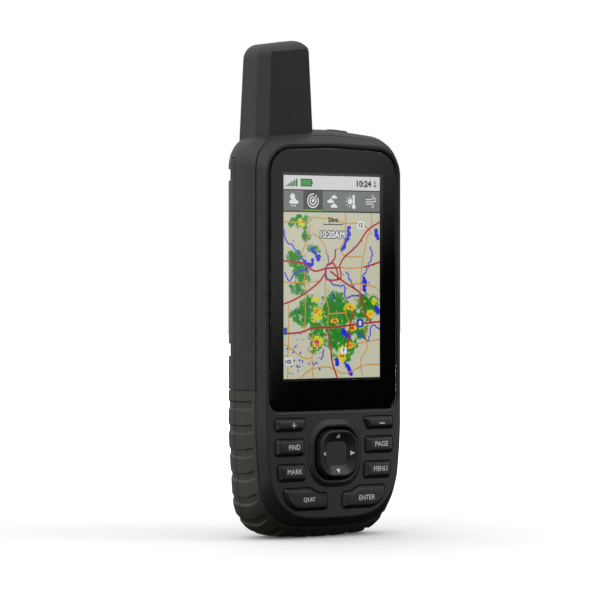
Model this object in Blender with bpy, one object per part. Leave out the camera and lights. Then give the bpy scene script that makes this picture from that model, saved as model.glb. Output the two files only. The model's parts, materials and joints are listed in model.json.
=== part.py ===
"""A rugged hand-held satellite navigator, built as an assembly of separate pieces.

Design frame, used by every function below, in millimetres:
    x  to the right, seen from the front
    d  depth, back from the flat front face
    z  up from the centre of the screen
world() turns a design point into Blender's metres, with +Z up, the front facing -Y, and the
origin under the middle of the case at its lowest point.
"""

import math
from collections import namedtuple

import bmesh
import bpy
from mathutils import Matrix, Vector

MM = 0.001

# Place of the design frame in the world.
FRONT_Y = -14.8
SCREEN_Z = 85.6

# The case: one outline for each depth. Between two depths the outline is interpolated.
Section = namedtuple("Section", "depth half_width top sag bottom top_radius bottom_radius")
SECTIONS = (
    Section(0.0, 27.7, 44.0, 0.8, -78.9, 10.0, 16.5),
    Section(3.5, 29.6, 46.9, 1.9, -82.3, 10.2, 15.6),
    Section(9.0, 31.0, 49.2, 3.0, -85.6, 10.5, 14.4),
    Section(13.5, 30.9, 49.2, 3.0, -85.6, 10.5, 14.4),
    Section(20.0, 28.5, 48.2, 3.0, -85.6, 10.0, 14.0),
    Section(25.5, 23.0, 46.0, 2.3, -80.5, 9.0, 11.0),
    Section(28.2, 19.5, 43.5, 1.9, -76.0, 8.0, 7.5),
)
BACK = SECTIONS[-1].depth
BOTTOM_RISE = 1.2
WAIST_Z = -53.0
WAIST_TAPER = 2.6
WAIST_RADIUS = 130.0
ARCH_RADIUS = 100.0
FOOT_HALF = 6.0
FOOT_RADIUS = 40.0

# Depths at which the case parts, and the gap left there.
PARTING = 3.5
SEAM = 13.5
HALF_GAP = 0.15
EDGE_ROUND = 0.6

# Walls.
FRONT_PLATE = 2.2
FRONT_WALL = 2.2
REAR_WALL = 3.2
COVER_WALL = 3.0
COVER_BACK = 26.7
FLOOR_FRONT = 10.0

# Lens and screen.
LENS_HALF_WIDTH = 26.2
LENS_TOP = 42.4
LENS_BOTTOM = -43.6
LENS_THICK = (0.2, 1.1)
LENS_POCKET = 1.5
WINDOW_HALF = (22.2, 35.8)
SCREEN_HALF = (19.9, 33.15)

# Keys.
KEY_PROUD = 1.15
KEY_GAP = 0.35
KEY_DRAFT = 0.8
KEY_FLANGE = (2.25, 2.95)
KEY_FLANGE_MARGIN = 0.65
KEY_STEM_END = 3.8
MEMBRANE = (4.75, 5.35)
DOME_TOP = 4.45

# Rocker: a tilting pad in a round-cornered well with a raised lip.
ROCKER_Z = -57.8
ROCKER_PAD_HALF = 7.8
ROCKER_WELL_HALF = 8.8
ROCKER_LIP_HALF = 10.4
ROCKER_RIM = -2.7

# Circuit board and the space behind it.
BOARD = (5.6, 6.6)
BOSSES = ((24.2, 33.0), (-24.2, 33.0), (24.2, -41.5), (-24.2, -41.5), (0.0, -76.2))
BOSS_RADIUS = 1.75

# Grip: the ribbed soft skin round the lower case.
GRIP_TOP = -36.8
GRIP_THICK = 1.2
GROOVE_PITCH = 7.64
GROOVE_WIDTH = 2.65
GROOVE_DEPTH = 0.5
FIRST_GROOVE_Z = -41.65
COVER_GRIP_BACK = 24.2

# Battery cover, its spine and its turning latch.
COVER_TOP = 39.2
PORT_HALF = 13.35
PORT_FOOT = 16.85
SPINE_HALF = 9.0
SPINE_NECK_HALF = 6.4
SPINE_Z = (-36.0, 12.0)
SPINE_BACK = 32.3
LATCH_Z = -58.0
LATCH_RECESS = 11.3
LATCH_FLOOR = 25.8
BAIL_DEPTH = 28.35

# Battery bay.
CELL_RADIUS = 7.2
CELL_X = 7.5
CELL_DEPTH = 19.1
CELL_LENGTH = 50.5
BAY_Z = (-45.5, 10.4)
BAY_HALF = 15.2

# Rear ports under the weather cap.
PORT_Z = 26.0
USB_X = -4.5
JACK_X = 6.0
CAP_HALF = 11.5
CAP_Z = (19.0, 33.0)
CAP_FLOOR = 26.6
LAMP_Z = 37.0

# Antenna: a tapered eight-sided radome with a sloping top.
Plan = namedtuple("Plan", "left right front back left_chamfer right_chamfer")
ANTENNA_FOOT = Plan(-25.7, -3.7, 5.5, 21.6, 3.7, 1.3)
ANTENNA_HEAD = Plan(-24.6, -5.1, 5.8, 21.1, 3.4, 1.8)
ANTENNA_FOOT_Z = 43.5
ANTENNA_HEAD_Z = 72.6
ANTENNA_TOP_Z = 76.8
ANTENNA_SLOPE = 0.13
ANTENNA_X = -14.8
ANTENNA_DEPTH = 13.6

# Power button: an oval in the top of the case.
POWER_X = 9.6
POWER_DEPTH = 11.5
POWER_TOP = 48.9
POWER_HALF = (3.9, 2.1)
POWER_RADIUS = 1.9

Paint = namedtuple("Paint", "colour roughness metallic")
PAINTS = {
    "case_plastic": Paint((0.045, 0.045, 0.046), 0.55, 0.0),
    "grip_rubber": Paint((0.060, 0.062, 0.050), 0.75, 0.0),
    "key_rubber": Paint((0.030, 0.030, 0.031), 0.50, 0.0),
    "lens_glass": Paint((0.80, 0.82, 0.83), 0.05, 0.0),
    "screen": Paint((0.50, 0.50, 0.42), 0.30, 0.0),
    "seal_rubber": Paint((0.02, 0.02, 0.02), 0.80, 0.0),
    "board_green": Paint((0.02, 0.14, 0.06), 0.45, 0.0),
    "plated_steel": Paint((0.62, 0.62, 0.60), 0.30, 1.0),
    "stainless": Paint((0.55, 0.55, 0.56), 0.25, 1.0),
    "copper": Paint((0.75, 0.38, 0.20), 0.30, 1.0),
    "ceramic_white": Paint((0.80, 0.78, 0.72), 0.50, 0.0),
    "cell_label": Paint((0.35, 0.12, 0.04), 0.40, 0.0),
    "card_plastic": Paint((0.03, 0.03, 0.03), 0.40, 0.0),
    "brass": Paint((0.72, 0.52, 0.20), 0.30, 1.0),
}


# ---------------------------------------------------------------- points and outlines


def world(x, d, z):
    """A design point in Blender's metres."""
    return Vector((x, d + FRONT_Y, z + SCREEN_Z)) * MM


def rounded(corners, steps=4):
    """A closed outline from (x, z, radius) corners, each turned into an arc of steps + 1 points."""
    points = []
    for i, (x, z, radius) in enumerate(corners):
        corner = Vector((x, z))
        before = (Vector(corners[i - 1][:2]) - corner).normalized()
        after = (Vector(corners[(i + 1) % len(corners)][:2]) - corner).normalized()
        half_angle = before.angle(after) / 2
        centre = corner + (before + after).normalized() * radius / math.sin(half_angle)
        reach = radius / math.tan(half_angle)
        start = corner + before * reach - centre
        sweep = start.angle_signed(corner + after * reach - centre)
        for k in range(steps + 1):
            turn = Matrix.Rotation(-sweep * k / steps, 2)
            points.append(tuple(centre + turn @ start))
    return points


def offset(corners, distance):
    """The same (x, z, radius) corners with every side moved out by distance, or in if negative."""
    count = len(corners)
    area = sum(
        corners[i - 1][0] * corners[i][1] - corners[i][0] * corners[i - 1][1]
        for i in range(count)
    )
    side = 1 if area > 0 else -1
    moved = []
    for i, (x, z, radius) in enumerate(corners):
        corner = Vector((x, z))
        along_in = (corner - Vector(corners[i - 1][:2])).normalized()
        along_out = (Vector(corners[(i + 1) % count][:2]) - corner).normalized()
        normal_in = Vector((along_in.y, -along_in.x)) * side
        normal_out = Vector((along_out.y, -along_out.x)) * side
        mitre = (normal_in + normal_out) / (1 + normal_in.dot(normal_out))
        convex = along_in.cross(along_out) * side > 0
        grown = radius + distance if convex else radius - distance
        moved.append((*(corner + mitre * distance), max(grown, 0.15)))
    return moved


def section_at(depth):
    """The case section at any depth, interpolated between the named ones."""
    shallow, deep = next(
        (a, b) for a, b in zip(SECTIONS, SECTIONS[1:]) if depth <= b.depth or b is SECTIONS[-1]
    )
    share = (depth - shallow.depth) / (deep.depth - shallow.depth)
    share = min(max(share, 0.0), 1.0)
    return Section(*(a + (b - a) * share for a, b in zip(shallow, deep)))


def case_outline(depth, inset=0.0):
    """The case's outline at a depth: an arched top, straight flanks, a taper and a flat foot."""
    s = section_at(depth)
    half, top, bottom = s.half_width - inset, s.top - inset, s.bottom + inset
    top_radius = max(s.top_radius - inset, 1.0)
    bottom_radius = max(s.bottom_radius - inset, 1.0)
    right = (
        (half, top - s.sag, top_radius),
        (half, WAIST_Z, WAIST_RADIUS),
        (half - WAIST_TAPER, bottom + BOTTOM_RISE, bottom_radius),
        (FOOT_HALF, bottom, FOOT_RADIUS),
    )
    left = tuple((-x, z, r) for x, z, r in reversed(right))
    return rounded(((0, top, ARCH_RADIUS), *right, *left))


def rectangle(half_x, z0, z1, radius, x=0.0):
    return (
        (x - half_x, z0, radius),
        (x + half_x, z0, radius),
        (x + half_x, z1, radius),
        (x - half_x, z1, radius),
    )


def lens_corners(margin=0.0):
    """The lens: an arched top with wide corners and a straight foot with small ones."""
    half, top, bottom = LENS_HALF_WIDTH, LENS_TOP, LENS_BOTTOM
    shape = (
        (0, top, ARCH_RADIUS),
        (half, top - 1.0, 8.0),
        (half, bottom, 4.0),
        (-half, bottom, 4.0),
        (-half, top - 1.0, 8.0),
    )
    return offset(shape, margin)


# ---------------------------------------------------------------- solids


def solid(name, bm):
    """An object from a bmesh in design millimetres, its faces turned outwards."""
    bm.normal_update()
    bmesh.ops.recalc_face_normals(bm, faces=bm.faces)
    for vert in bm.verts:
        vert.co = world(*vert.co)
    mesh = bpy.data.meshes.new(name)
    bm.to_mesh(mesh)
    bm.free()
    made = bpy.data.objects.new(name, mesh)
    bpy.context.collection.objects.link(made)
    return made


def loft(rings, name="tool"):
    """A closed solid through rings of design points, all of one count, with flat ends."""
    bm = bmesh.new()
    layers = [[bm.verts.new(point) for point in ring] for ring in rings]
    count = len(layers[0])
    for near, far in zip(layers, layers[1:]):
        for i in range(count):
            j = (i + 1) % count
            bm.faces.new((near[i], near[j], far[j], far[i]))
    bm.faces.new(layers[0])
    bm.faces.new(layers[-1])
    return solid(name, bm)


def prism(outline, d0, d1, name="tool"):
    """An (x, z) outline run from depth d0 to d1."""
    return loft([[(x, d, z) for x, z in outline] for d in (d0, d1)], name)


def stack(corners, levels, name="tool", steps=3):
    """An (x, z, radius) shape lofted through (depth, outward margin) levels."""
    rings = []
    for depth, margin in levels:
        outline = rounded(offset(corners, margin), steps)
        rings.append([(x, depth, z) for x, z in outline])
    return loft(rings, name)


def box(xs, ds, zs, name="tool"):
    bm = bmesh.new()
    bmesh.ops.create_cube(bm, size=1.0)
    for vert in bm.verts:
        vert.co = [
            (low + high) / 2 + side * (high - low)
            for side, (low, high) in zip(vert.co, (xs, ds, zs))
        ]
    return solid(name, bm)


def cylinder(start, end, radius, name="tool", sides=20, end_radius=None):
    """A round bar between two design points."""
    axis = Vector(end) - Vector(start)
    bm = bmesh.new()
    bmesh.ops.create_cone(
        bm,
        cap_ends=True,
        segments=sides,
        radius1=radius,
        radius2=radius if end_radius is None else end_radius,
        depth=axis.length,
    )
    bm.transform(
        Matrix.Translation((Vector(start) + Vector(end)) / 2)
        @ axis.to_track_quat("Z", "Y").to_matrix().to_4x4()
    )
    return solid(name, bm)


def bar(x, z, d0, d1, radius, name="tool", sides=20):
    """A round bar along the depth axis."""
    return cylinder((x, d0, z), (x, d1, z), radius, name, sides)


def case_body(d0, d1, inset=0.0, name="tool"):
    """The case's outer form between two depths, made smaller by inset."""
    depths = [d0, *(s.depth for s in SECTIONS if d0 + 0.2 < s.depth < d1 - 0.2), d1]
    return loft([[(x, d, z) for x, z in case_outline(d, inset)] for d in depths], name)


def combine(target, tool, operation):
    """Applies one exact Boolean and removes the tool."""
    modifier = target.modifiers.new(operation, "BOOLEAN")
    modifier.operation = operation
    modifier.solver = "EXACT"
    modifier.object = tool
    graph = bpy.context.evaluated_depsgraph_get()
    mesh = bpy.data.meshes.new_from_object(target.evaluated_get(graph))
    target.modifiers.clear()
    spent = (target.data, tool.data)
    target.data = mesh
    bpy.data.objects.remove(tool)
    for old in spent:
        bpy.data.meshes.remove(old)
    return target


def cut(target, *tools):
    for tool in tools:
        combine(target, tool, "DIFFERENCE")
    return target


def join(target, *tools):
    for tool in tools:
        combine(target, tool, "UNION")
    return target


def keep(target, *tools):
    for tool in tools:
        combine(target, tool, "INTERSECT")
    return target


def tube(path, radius, side_axis, name="tool", sides=6):
    """A round wire along design points, none of them in line with side_axis."""
    points = [Vector(point) for point in path]
    rings = []
    for i, point in enumerate(points):
        along = points[min(i + 1, len(points) - 1)] - points[max(i - 1, 0)]
        across = along.cross(Vector(side_axis)).normalized()
        up = across.cross(along).normalized()
        angles = [2 * math.pi * k / sides for k in range(sides)]
        rings.append([point + (across * math.cos(a) + up * math.sin(a)) * radius for a in angles])
    return loft(rings, name)


def ring_bar(x, z, d0, d1, outer, inner, name="tool", sides=28):
    """A washer or tube along the depth axis."""
    made = bar(x, z, d0, d1, outer, name, sides)
    return cut(made, bar(x, z, d0 - 1, d1 + 1, inner, sides=sides))


def finish(made, name, paint, origin=None, smooth_angle=35.0):
    """Names, paints and shades a piece, and moves its origin to a design point."""
    made.name = name
    made.data.name = name
    made.data.materials.clear()
    made.data.materials.append(material(paint))
    made.data.shade_smooth()
    made.data.set_sharp_from_angle(angle=math.radians(smooth_angle))
    if origin is not None:
        place = world(*origin)
        made.data.transform(Matrix.Translation(-place))
        made.location = place
    return made


def material(name):
    if name in bpy.data.materials:
        return bpy.data.materials[name]
    paint = PAINTS[name]
    made = bpy.data.materials.new(name)
    made.use_nodes = True
    shader = made.node_tree.nodes["Principled BSDF"]
    shader.inputs["Base Color"].default_value = (*paint.colour, 1.0)
    shader.inputs["Roughness"].default_value = paint.roughness
    shader.inputs["Metallic"].default_value = paint.metallic
    return made


def attach(child, parent):
    """Parents child without moving it."""
    bpy.context.view_layer.update()
    child.parent = parent
    child.matrix_parent_inverse = parent.matrix_world.inverted()


# ---------------------------------------------------------------- front case and lens


def front_case():
    depths = ((0.0, EDGE_ROUND), (EDGE_ROUND, 0.0), (PARTING - HALF_GAP, 0.0))
    shell = loft([[(x, d, z) for x, z in case_outline(d, inset)] for d, inset in depths])
    cut(shell, case_body(FRONT_PLATE, PARTING + 1, FRONT_WALL))
    lip = rocker_corners(ROCKER_LIP_HALF)
    join(shell, stack(lip, ((1.0, 0.0), (-0.1, 0.0), (-0.8, -0.6), (-1.0, -1.1)), steps=5))
    for x, z in BOSSES:
        join(shell, bar(x, z, LENS_POCKET + 0.3, 7.5, BOSS_RADIUS, sides=16))
        cut(shell, bar(x, z, 2.8, 8.5, 0.9, sides=12))
    cut(
        shell,
        prism(rounded(lens_corners(0.25)), -2.0, LENS_POCKET),
        prism(rounded(rectangle(WINDOW_HALF[0], -WINDOW_HALF[1], WINDOW_HALF[1], 1.5), 3), 0.5, 4.0),
        prism(rounded(rocker_corners(ROCKER_WELL_HALF), 5), -3.0, 4.0),
    )
    for shape in KEY_SHAPES.values():
        cut(shell, prism(rounded(offset(shape, KEY_GAP), 3), -2.0, 4.0))
    return finish(shell, "front_case", "case_plastic")


def lens_stack():
    front, back = LENS_THICK
    glass = stack(lens_corners(), ((front, -0.2), (front + 0.2, 0.0), (back, 0.0)), steps=5)
    finish(glass, "display_lens", "lens_glass")
    glue = prism(rounded(lens_corners(-0.3)), back + 0.06, LENS_POCKET - 0.06)
    cut(glue, prism(rounded(rectangle(23.4, -36.8, 37.0, 1.5), 3), 0, 3))
    finish(glue, "lens_gasket", "seal_rubber")


def screen_stack():
    half_x, half_z = SCREEN_HALF
    panel = box((-half_x - 1.5, half_x + 1.5), (1.75, 3.1), (-half_z - 2.2, half_z + 1.6))
    finish(panel, "lcd_panel", "screen")
    tray = prism(rounded(rectangle(22.3, -37.0, 37.0, 1.2), 3), 3.2, 5.0)
    cut(tray, prism(rounded(rectangle(21.2, -35.4, 35.4, 0.8), 3), 4.2, 6.0))
    finish(tray, "lcd_frame", "plated_steel")
    # A flat cable leaves the frame's foot and folds back to the board.
    fold = ((3.6, -37.15), (3.6, -38.4), (4.3, -39.1), (5.4, -39.1), (5.4, -38.9), (4.4, -38.9),
            (3.8, -38.3), (3.8, -37.15))
    strip = loft([[(x, d, z) for d, z in fold] for x in (-7.0, 7.0)])
    finish(strip, "lcd_flex_cable", "copper")


# ---------------------------------------------------------------- keys and rocker


def mirrored(corners):
    return tuple((-x, z, radius) for x, z, radius in reversed(corners))


ZOOM_KEY = ((-24.3, -50.1, 0.8), (-13.5, -50.1, 0.8), (-11.8, -46.1, 0.8), (-24.3, -46.1, 0.8))
UPPER_KEY = ((-24.1, -58.1, 0.8), (-12.8, -58.1, 0.8), (-12.8, -52.8, 0.8), (-24.1, -52.8, 0.8))
LOWER_KEY = ((-22.8, -66.4, 0.8), (-12.1, -66.4, 0.8), (-12.4, -61.0, 0.8), (-23.4, -61.0, 0.8))
FOOT_KEY = (
    (-20.8, -76.0, 6.2),
    (-3.2, -76.0, 0.8),
    (-3.2, -70.6, 1.2),
    (-6.5, -70.6, 2.0),
    (-10.2, -68.8, 2.0),
    (-20.8, -68.8, 0.8),
)
KEY_SHAPES = {
    "key_zoom_in": ZOOM_KEY,
    "key_zoom_out": mirrored(ZOOM_KEY),
    "key_find": UPPER_KEY,
    "key_page": mirrored(UPPER_KEY),
    "key_mark": LOWER_KEY,
    "key_menu": mirrored(LOWER_KEY),
    "key_quit": FOOT_KEY,
    "key_enter": mirrored(FOOT_KEY),
}


def rocker_corners(half):
    """A square with wide round corners, centred on the rocker."""
    return rectangle(half, ROCKER_Z - half, ROCKER_Z + half, 5.6 + (half - ROCKER_PAD_HALF) * 0.6)


def centre_of(corners):
    xs = [corner[0] for corner in corners]
    zs = [corner[1] for corner in corners]
    return (min(xs) + max(xs)) / 2, (min(zs) + max(zs)) / 2


def key(name, corners):
    """A key cap with sloping sides, a flange that holds it behind the front, and a short stem."""
    levels = (
        (KEY_FLANGE[1], KEY_FLANGE_MARGIN),
        (KEY_FLANGE[0], KEY_FLANGE_MARGIN),
        (KEY_FLANGE[0], 0.0),
        (-0.25, 0.0),
        (-KEY_PROUD + 0.15, 0.15 - KEY_DRAFT),
        (-KEY_PROUD, -KEY_DRAFT),
    )
    cap = stack(corners, levels, steps=2)
    x, z = centre_of(corners)
    join(cap, bar(x, z, KEY_FLANGE[1] - 0.3, KEY_STEM_END, 1.4, sides=10))
    return finish(cap, name, "key_rubber", origin=(x, 0.0, z))


def rocker():
    """The pad tilts up and down on the pivot plate, and the plate tilts left and right."""
    pad = stack(
        rocker_corners(ROCKER_PAD_HALF),
        ((2.4, -0.6), (1.6, 0.0), (-2.2, 0.0), (ROCKER_RIM + 0.1, -0.25), (ROCKER_RIM, -0.6)),
        steps=4,
    )
    dish = stack(
        rocker_corners(ROCKER_PAD_HALF),
        ((ROCKER_RIM - 0.5, -0.6), (ROCKER_RIM, -1.1), (ROCKER_RIM + 1.3, -4.0)),
        steps=4,
    )
    cut(pad, dish)
    join(pad, bar(0.0, ROCKER_Z, 2.2, 2.9, 1.5, sides=12))
    pivot = bar(0.0, ROCKER_Z, 3.05, 3.75, 5.0, sides=24)
    join(pivot, bar(0.0, ROCKER_Z, 3.5, 4.3, 1.2, sides=12))
    finish(pivot, "rocker_pivot_plate", "plated_steel", origin=(0.0, 3.9, ROCKER_Z))
    finish(pad, "rocker_pad", "key_rubber", origin=(0.0, 2.7, ROCKER_Z))
    attach(pad, pivot)


def keypad_membrane():
    """One silicone sheet behind all the keys, with a dome under each."""
    sheet = prism(case_outline(3.5, 3.9), *MEMBRANE)
    cut(sheet, box((-40, 40), (0, 9), (-44.4, 60)))
    spots = [centre_of(shape) for shape in KEY_SHAPES.values()]
    spots += [(4.0, ROCKER_Z), (-4.0, ROCKER_Z), (0.0, ROCKER_Z + 4.0), (0.0, ROCKER_Z - 4.0)]
    for x, z in spots:
        join(sheet, bar(x, z, DOME_TOP, MEMBRANE[0] + 0.2, 1.9, sides=10))
    x, z = BOSSES[-1]
    cut(sheet, bar(x, z, 4.0, 6.0, BOSS_RADIUS + 0.4, sides=16))
    return finish(sheet, "keypad_membrane", "seal_rubber")


def power_oval(levels):
    """The power button's oval lofted upwards through (height, outward margin) levels."""
    half_x, half_d = POWER_HALF
    oval = rectangle(half_x, POWER_DEPTH - half_d, POWER_DEPTH + half_d, POWER_RADIUS, POWER_X)
    rings = []
    for z, margin in levels:
        rings.append([(x, d, z) for x, d in rounded(offset(oval, margin), 4)])
    return loft(rings)


def power_button():
    """An oval rubber button in the top of the case, with a flange that keeps it in."""
    flange = ((44.9, -0.4), (45.1, 0.6), (46.2, 0.6))
    cap = ((46.2, 0.0), (POWER_TOP - 0.5, 0.0), (POWER_TOP, -0.6))
    made = power_oval(flange + cap)
    return finish(made, "power_button", "key_rubber", origin=(POWER_X, POWER_DEPTH, 47.0))


def power_opening():
    """The cutter for the power button's hole, wide under the skin for its flange."""
    return power_oval(((41.9, 1.0), (46.5, 1.0), (46.5, 0.3), (50.0, 0.3)))


# ---------------------------------------------------------------- rear case and grip


def cover_region(gap, d0, d1):
    """The part of the back that the battery cover takes: all below its top edge, but not the ports."""
    top, side, foot = COVER_TOP + gap, PORT_HALF - gap, PORT_FOOT + gap
    shape = (
        (-50, -100), (50, -100), (50, top), (side, top),
        (side, foot), (-side, foot), (-side, top), (-50, top),
    )
    return prism(shape, d0, d1)


def skin(outer, inner, d0, d1, top):
    """A shell that follows the case between two insets, two depths and a top edge."""
    made = case_body(d0, d1, outer)
    return cut(made, case_body(d0 - 0.9, d1 + 0.9, inner), box((-60, 60), (-5, 50), (top, 90)))


def outline_walk(points):
    """Distances along a closed outline, and a function that gives place and tangent at one."""
    loops = [Vector(point) for point in points]
    loops.append(loops[0])
    marks = [0.0]
    for a, b in zip(loops, loops[1:]):
        marks.append(marks[-1] + (b - a).length)

    def at(distance):
        i = max(k for k, mark in enumerate(marks[:-1]) if mark <= distance)
        step = loops[i + 1] - loops[i]
        return loops[i] + step.normalized() * (distance - marks[i]), step.normalized()

    return marks, loops, at


def groove_bars(d0, d1):
    """Boxes across the skin at an even pitch, from one flank round the foot to the other."""
    marks, loops, at = outline_walk(case_outline(9.0))
    flank = [mark for mark, point in zip(marks, loops) if point.y > FIRST_GROOVE_Z]
    before = max(mark for mark in flank if mark < marks[-1] / 2)
    start = before + (at(before)[0].y - FIRST_GROOVE_Z)
    length = marks[-1] - 2 * start
    count = round(length / GROOVE_PITCH)
    bm = bmesh.new()
    for k in range(count + 1):
        place, tangent = at(start + length * k / count)
        turn = math.atan2(tangent.y, tangent.x)
        made = bmesh.ops.create_cube(bm, size=1.0)["verts"]
        bmesh.ops.scale(bm, verts=made, vec=(GROOVE_WIDTH, d1 - d0, 6.0))
        bmesh.ops.rotate(bm, verts=made, matrix=Matrix.Rotation(-turn, 3, "Y"))
        bmesh.ops.translate(bm, verts=made, vec=(place.x, (d0 + d1) / 2, place.y))
    return solid("tool", bm)


def grip(name, d0, d1, groove_from, groove_to):
    """A ribbed soft skin round the lower case between two depths."""
    made = skin(0.0, GRIP_THICK, d0, d1, GRIP_TOP - HALF_GAP)
    grooves = skin(-2.0, GROOVE_DEPTH, groove_from, groove_to, GRIP_TOP)
    keep(grooves, groove_bars(groove_from - 1, groove_to + 1))
    return finish(cut(made, grooves), name, "grip_rubber")


def rear_case():
    shell = case_body(PARTING + HALF_GAP, BACK)
    cut(shell, cover_region(HALF_GAP, SEAM - HALF_GAP, BACK + 2))
    cut(shell, case_body(PARTING - 0.8, FLOOR_FRONT, REAR_WALL))
    upper = case_body(FLOOR_FRONT - 1.4, 26.0, 2.9)
    cut(shell, keep(upper, box((-40, 40), (5, 30), (COVER_TOP + 1.4, 60))))
    cut(shell, box((-11, 11), (FLOOR_FRONT - 1, 24.9), (19.0, COVER_TOP + 2.2)))
    # A shelf under the antenna, walls round the cells, and the cup that the latch's cam turns in.
    join(shell, keep(box((-40, -3.4), (7.3, 24.0), (42.0, 43.8)), case_body(7.0, 25.0, 1.0)))
    walls = box((-BAY_HALF - 1.3, BAY_HALF + 1.3), (12.6, 23.2), (BAY_Z[0] - 1.4, BAY_Z[1] + 1.4))
    cut(walls, box((-BAY_HALF, BAY_HALF), (5, 30), BAY_Z))
    join(shell, walls, ring_bar(0, LATCH_Z, 12.9, 18.0, 7.6, 6.3))
    cut(
        shell,
        box((-BAY_HALF, BAY_HALF), (11.7, 15.0), BAY_Z),
        box((-6.4, 6.4), (10.5, 12.5), (-20.4, -3.6)),
        skin(-1.5, GRIP_THICK + 0.15, 3.0, 14.5, GRIP_TOP + HALF_GAP),
        antenna_form(0.2, ANTENNA_FOOT_Z - 0.2),
        cylinder((ANTENNA_X, ANTENNA_DEPTH, 41.0), (ANTENNA_X, ANTENNA_DEPTH, 45.0), 1.4, sides=12),
        power_opening(),
    )
    # Port block: openings for the two sockets and the lamp, and the cap's shallow seat.
    cut(
        shell,
        prism(rounded(rectangle(CAP_HALF + 0.3, CAP_Z[0] - 0.3, CAP_Z[1] + 0.3, 1.5), 3), CAP_FLOOR, 30),
        box((USB_X - 4.0, USB_X + 4.0), (24, 28), (PORT_Z - 1.7, PORT_Z + 1.7)),
        bar(JACK_X, PORT_Z, 24, 28, 2.7),
        bar(0.0, LAMP_Z, 24, 30, 2.55),
    )
    for x, z in BOSSES:
        cut(shell, bar(x, z, 8, 15, 1.1, sides=12), bar(x, z, 12.0, 15, 2.1, sides=16))
    return finish(shell, "rear_case", "case_plastic")


def case_seal():
    """The cord seal between the two halves of the case."""
    seal = case_body(2.4, 3.55, 2.4)
    cut(seal, case_body(1.5, 4.4, 2.8))
    return finish(seal, "case_seal", "seal_rubber")


# ---------------------------------------------------------------- antenna


def octagon(plan, inset, z, slope=0.0):
    """The radome's plan at a height, its corners cut, its left side lower by the slope."""
    left, right = plan.left + inset, plan.right - inset
    front, back = plan.front + inset, plan.back - inset
    lc = max(plan.left_chamfer - inset * 0.4, 0.6)
    rc = max(plan.right_chamfer - inset * 0.2, 0.4)
    shape = (
        (left + lc, front), (right - rc, front), (right, front + rc), (right, back - rc),
        (right - rc, back), (left + lc, back), (left, back - lc), (left, front + lc),
    )
    return [(x, d, z + slope * (x - ANTENNA_X)) for x, d in shape]


def antenna_form(margin, foot_z):
    """The radome's outer form, grown by margin, standing on foot_z."""
    share = (ANTENNA_TOP_Z - ANTENNA_HEAD_Z) / 4
    return loft(
        [
            octagon(ANTENNA_FOOT, -margin, foot_z),
            octagon(ANTENNA_FOOT, -margin, 46.0),
            octagon(ANTENNA_HEAD, -margin, ANTENNA_HEAD_Z, ANTENNA_SLOPE * 0.8),
            octagon(ANTENNA_HEAD, 0.7 - margin, ANTENNA_HEAD_Z + 2.2 * share, ANTENNA_SLOPE),
            octagon(ANTENNA_HEAD, 2.0 - margin, ANTENNA_HEAD_Z + 3.4 * share, ANTENNA_SLOPE),
            octagon(ANTENNA_HEAD, 3.6 - margin, ANTENNA_TOP_Z + margin, ANTENNA_SLOPE),
        ]
    )


def antenna():
    radome = antenna_form(0.0, ANTENNA_FOOT_Z)
    hollow = loft(
        [
            octagon(ANTENNA_FOOT, 1.8, ANTENNA_FOOT_Z - 1),
            octagon(ANTENNA_HEAD, 1.8, ANTENNA_HEAD_Z - 1.5, ANTENNA_SLOPE),
            octagon(ANTENNA_HEAD, 4.5, ANTENNA_HEAD_Z + 1.5, ANTENNA_SLOPE),
        ]
    )
    finish(cut(radome, hollow), "antenna_radome", "case_plastic")
    x, d = ANTENNA_X, ANTENNA_DEPTH
    foot = cylinder((x, d, 43.5), (x, d, 44.9), 5.9, sides=20)
    join(foot, cylinder((x, d, 44.5), (x, d, 70.0), 4.9, sides=20))
    finish(foot, "helix_core", "ceramic_white")
    finish(helix_winding(x, d, 5.1, 5.5, 45.2, 69.5), "helix_winding", "copper")
    route = (
        (x, d, 43.2),
        (x, d - 0.2, 42.2),
        (x, d - 0.9, 41.5),
        (x, d - 2.2, 41.3),
        (x, 9.2, 41.2),
        (x + 0.6, 7.9, 40.6),
        (x + 1.6, 7.25, 39.4),
        (x + 2.4, 7.15, 38.0),
    )
    finish(tube(route, 0.45, (1, 0, 0)), "antenna_cable", "seal_rubber")


def helix_winding(x, d, inner, outer, z0, z1, arms=4, turns=0.5, width=1.0, steps=9):
    """Four flat conductors that climb round the core, joined by a ring at each end."""
    ring = cylinder((x, d, z0), (x, d, z0 + 1.2), outer, sides=20)
    cut(ring, cylinder((x, d, z0 - 1), (x, d, z0 + 3), inner, sides=20))
    for arm in range(arms):
        rings = []
        for k in range(steps + 1):
            share = k / steps
            turn = 2 * math.pi * (arm / arms + turns * share) + 0.1
            z = z0 + 0.6 + (z1 - z0 - 1.2) * share
            near, far = inner + 0.05, outer + 0.1
            corners = ((near, -width / 2), (far, -width / 2), (far, width / 2), (near, width / 2))
            rings.append(
                [(x + r * math.cos(turn), d + r * math.sin(turn), z + dz) for r, dz in corners]
            )
        join(ring, loft(rings))
    top = cylinder((x, d, z1 - 1.2), (x, d, z1), outer, sides=20)
    cut(top, cylinder((x, d, z1 - 3), (x, d, z1 + 1), inner, sides=20))
    return join(ring, top)


# ---------------------------------------------------------------- electronics


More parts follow.
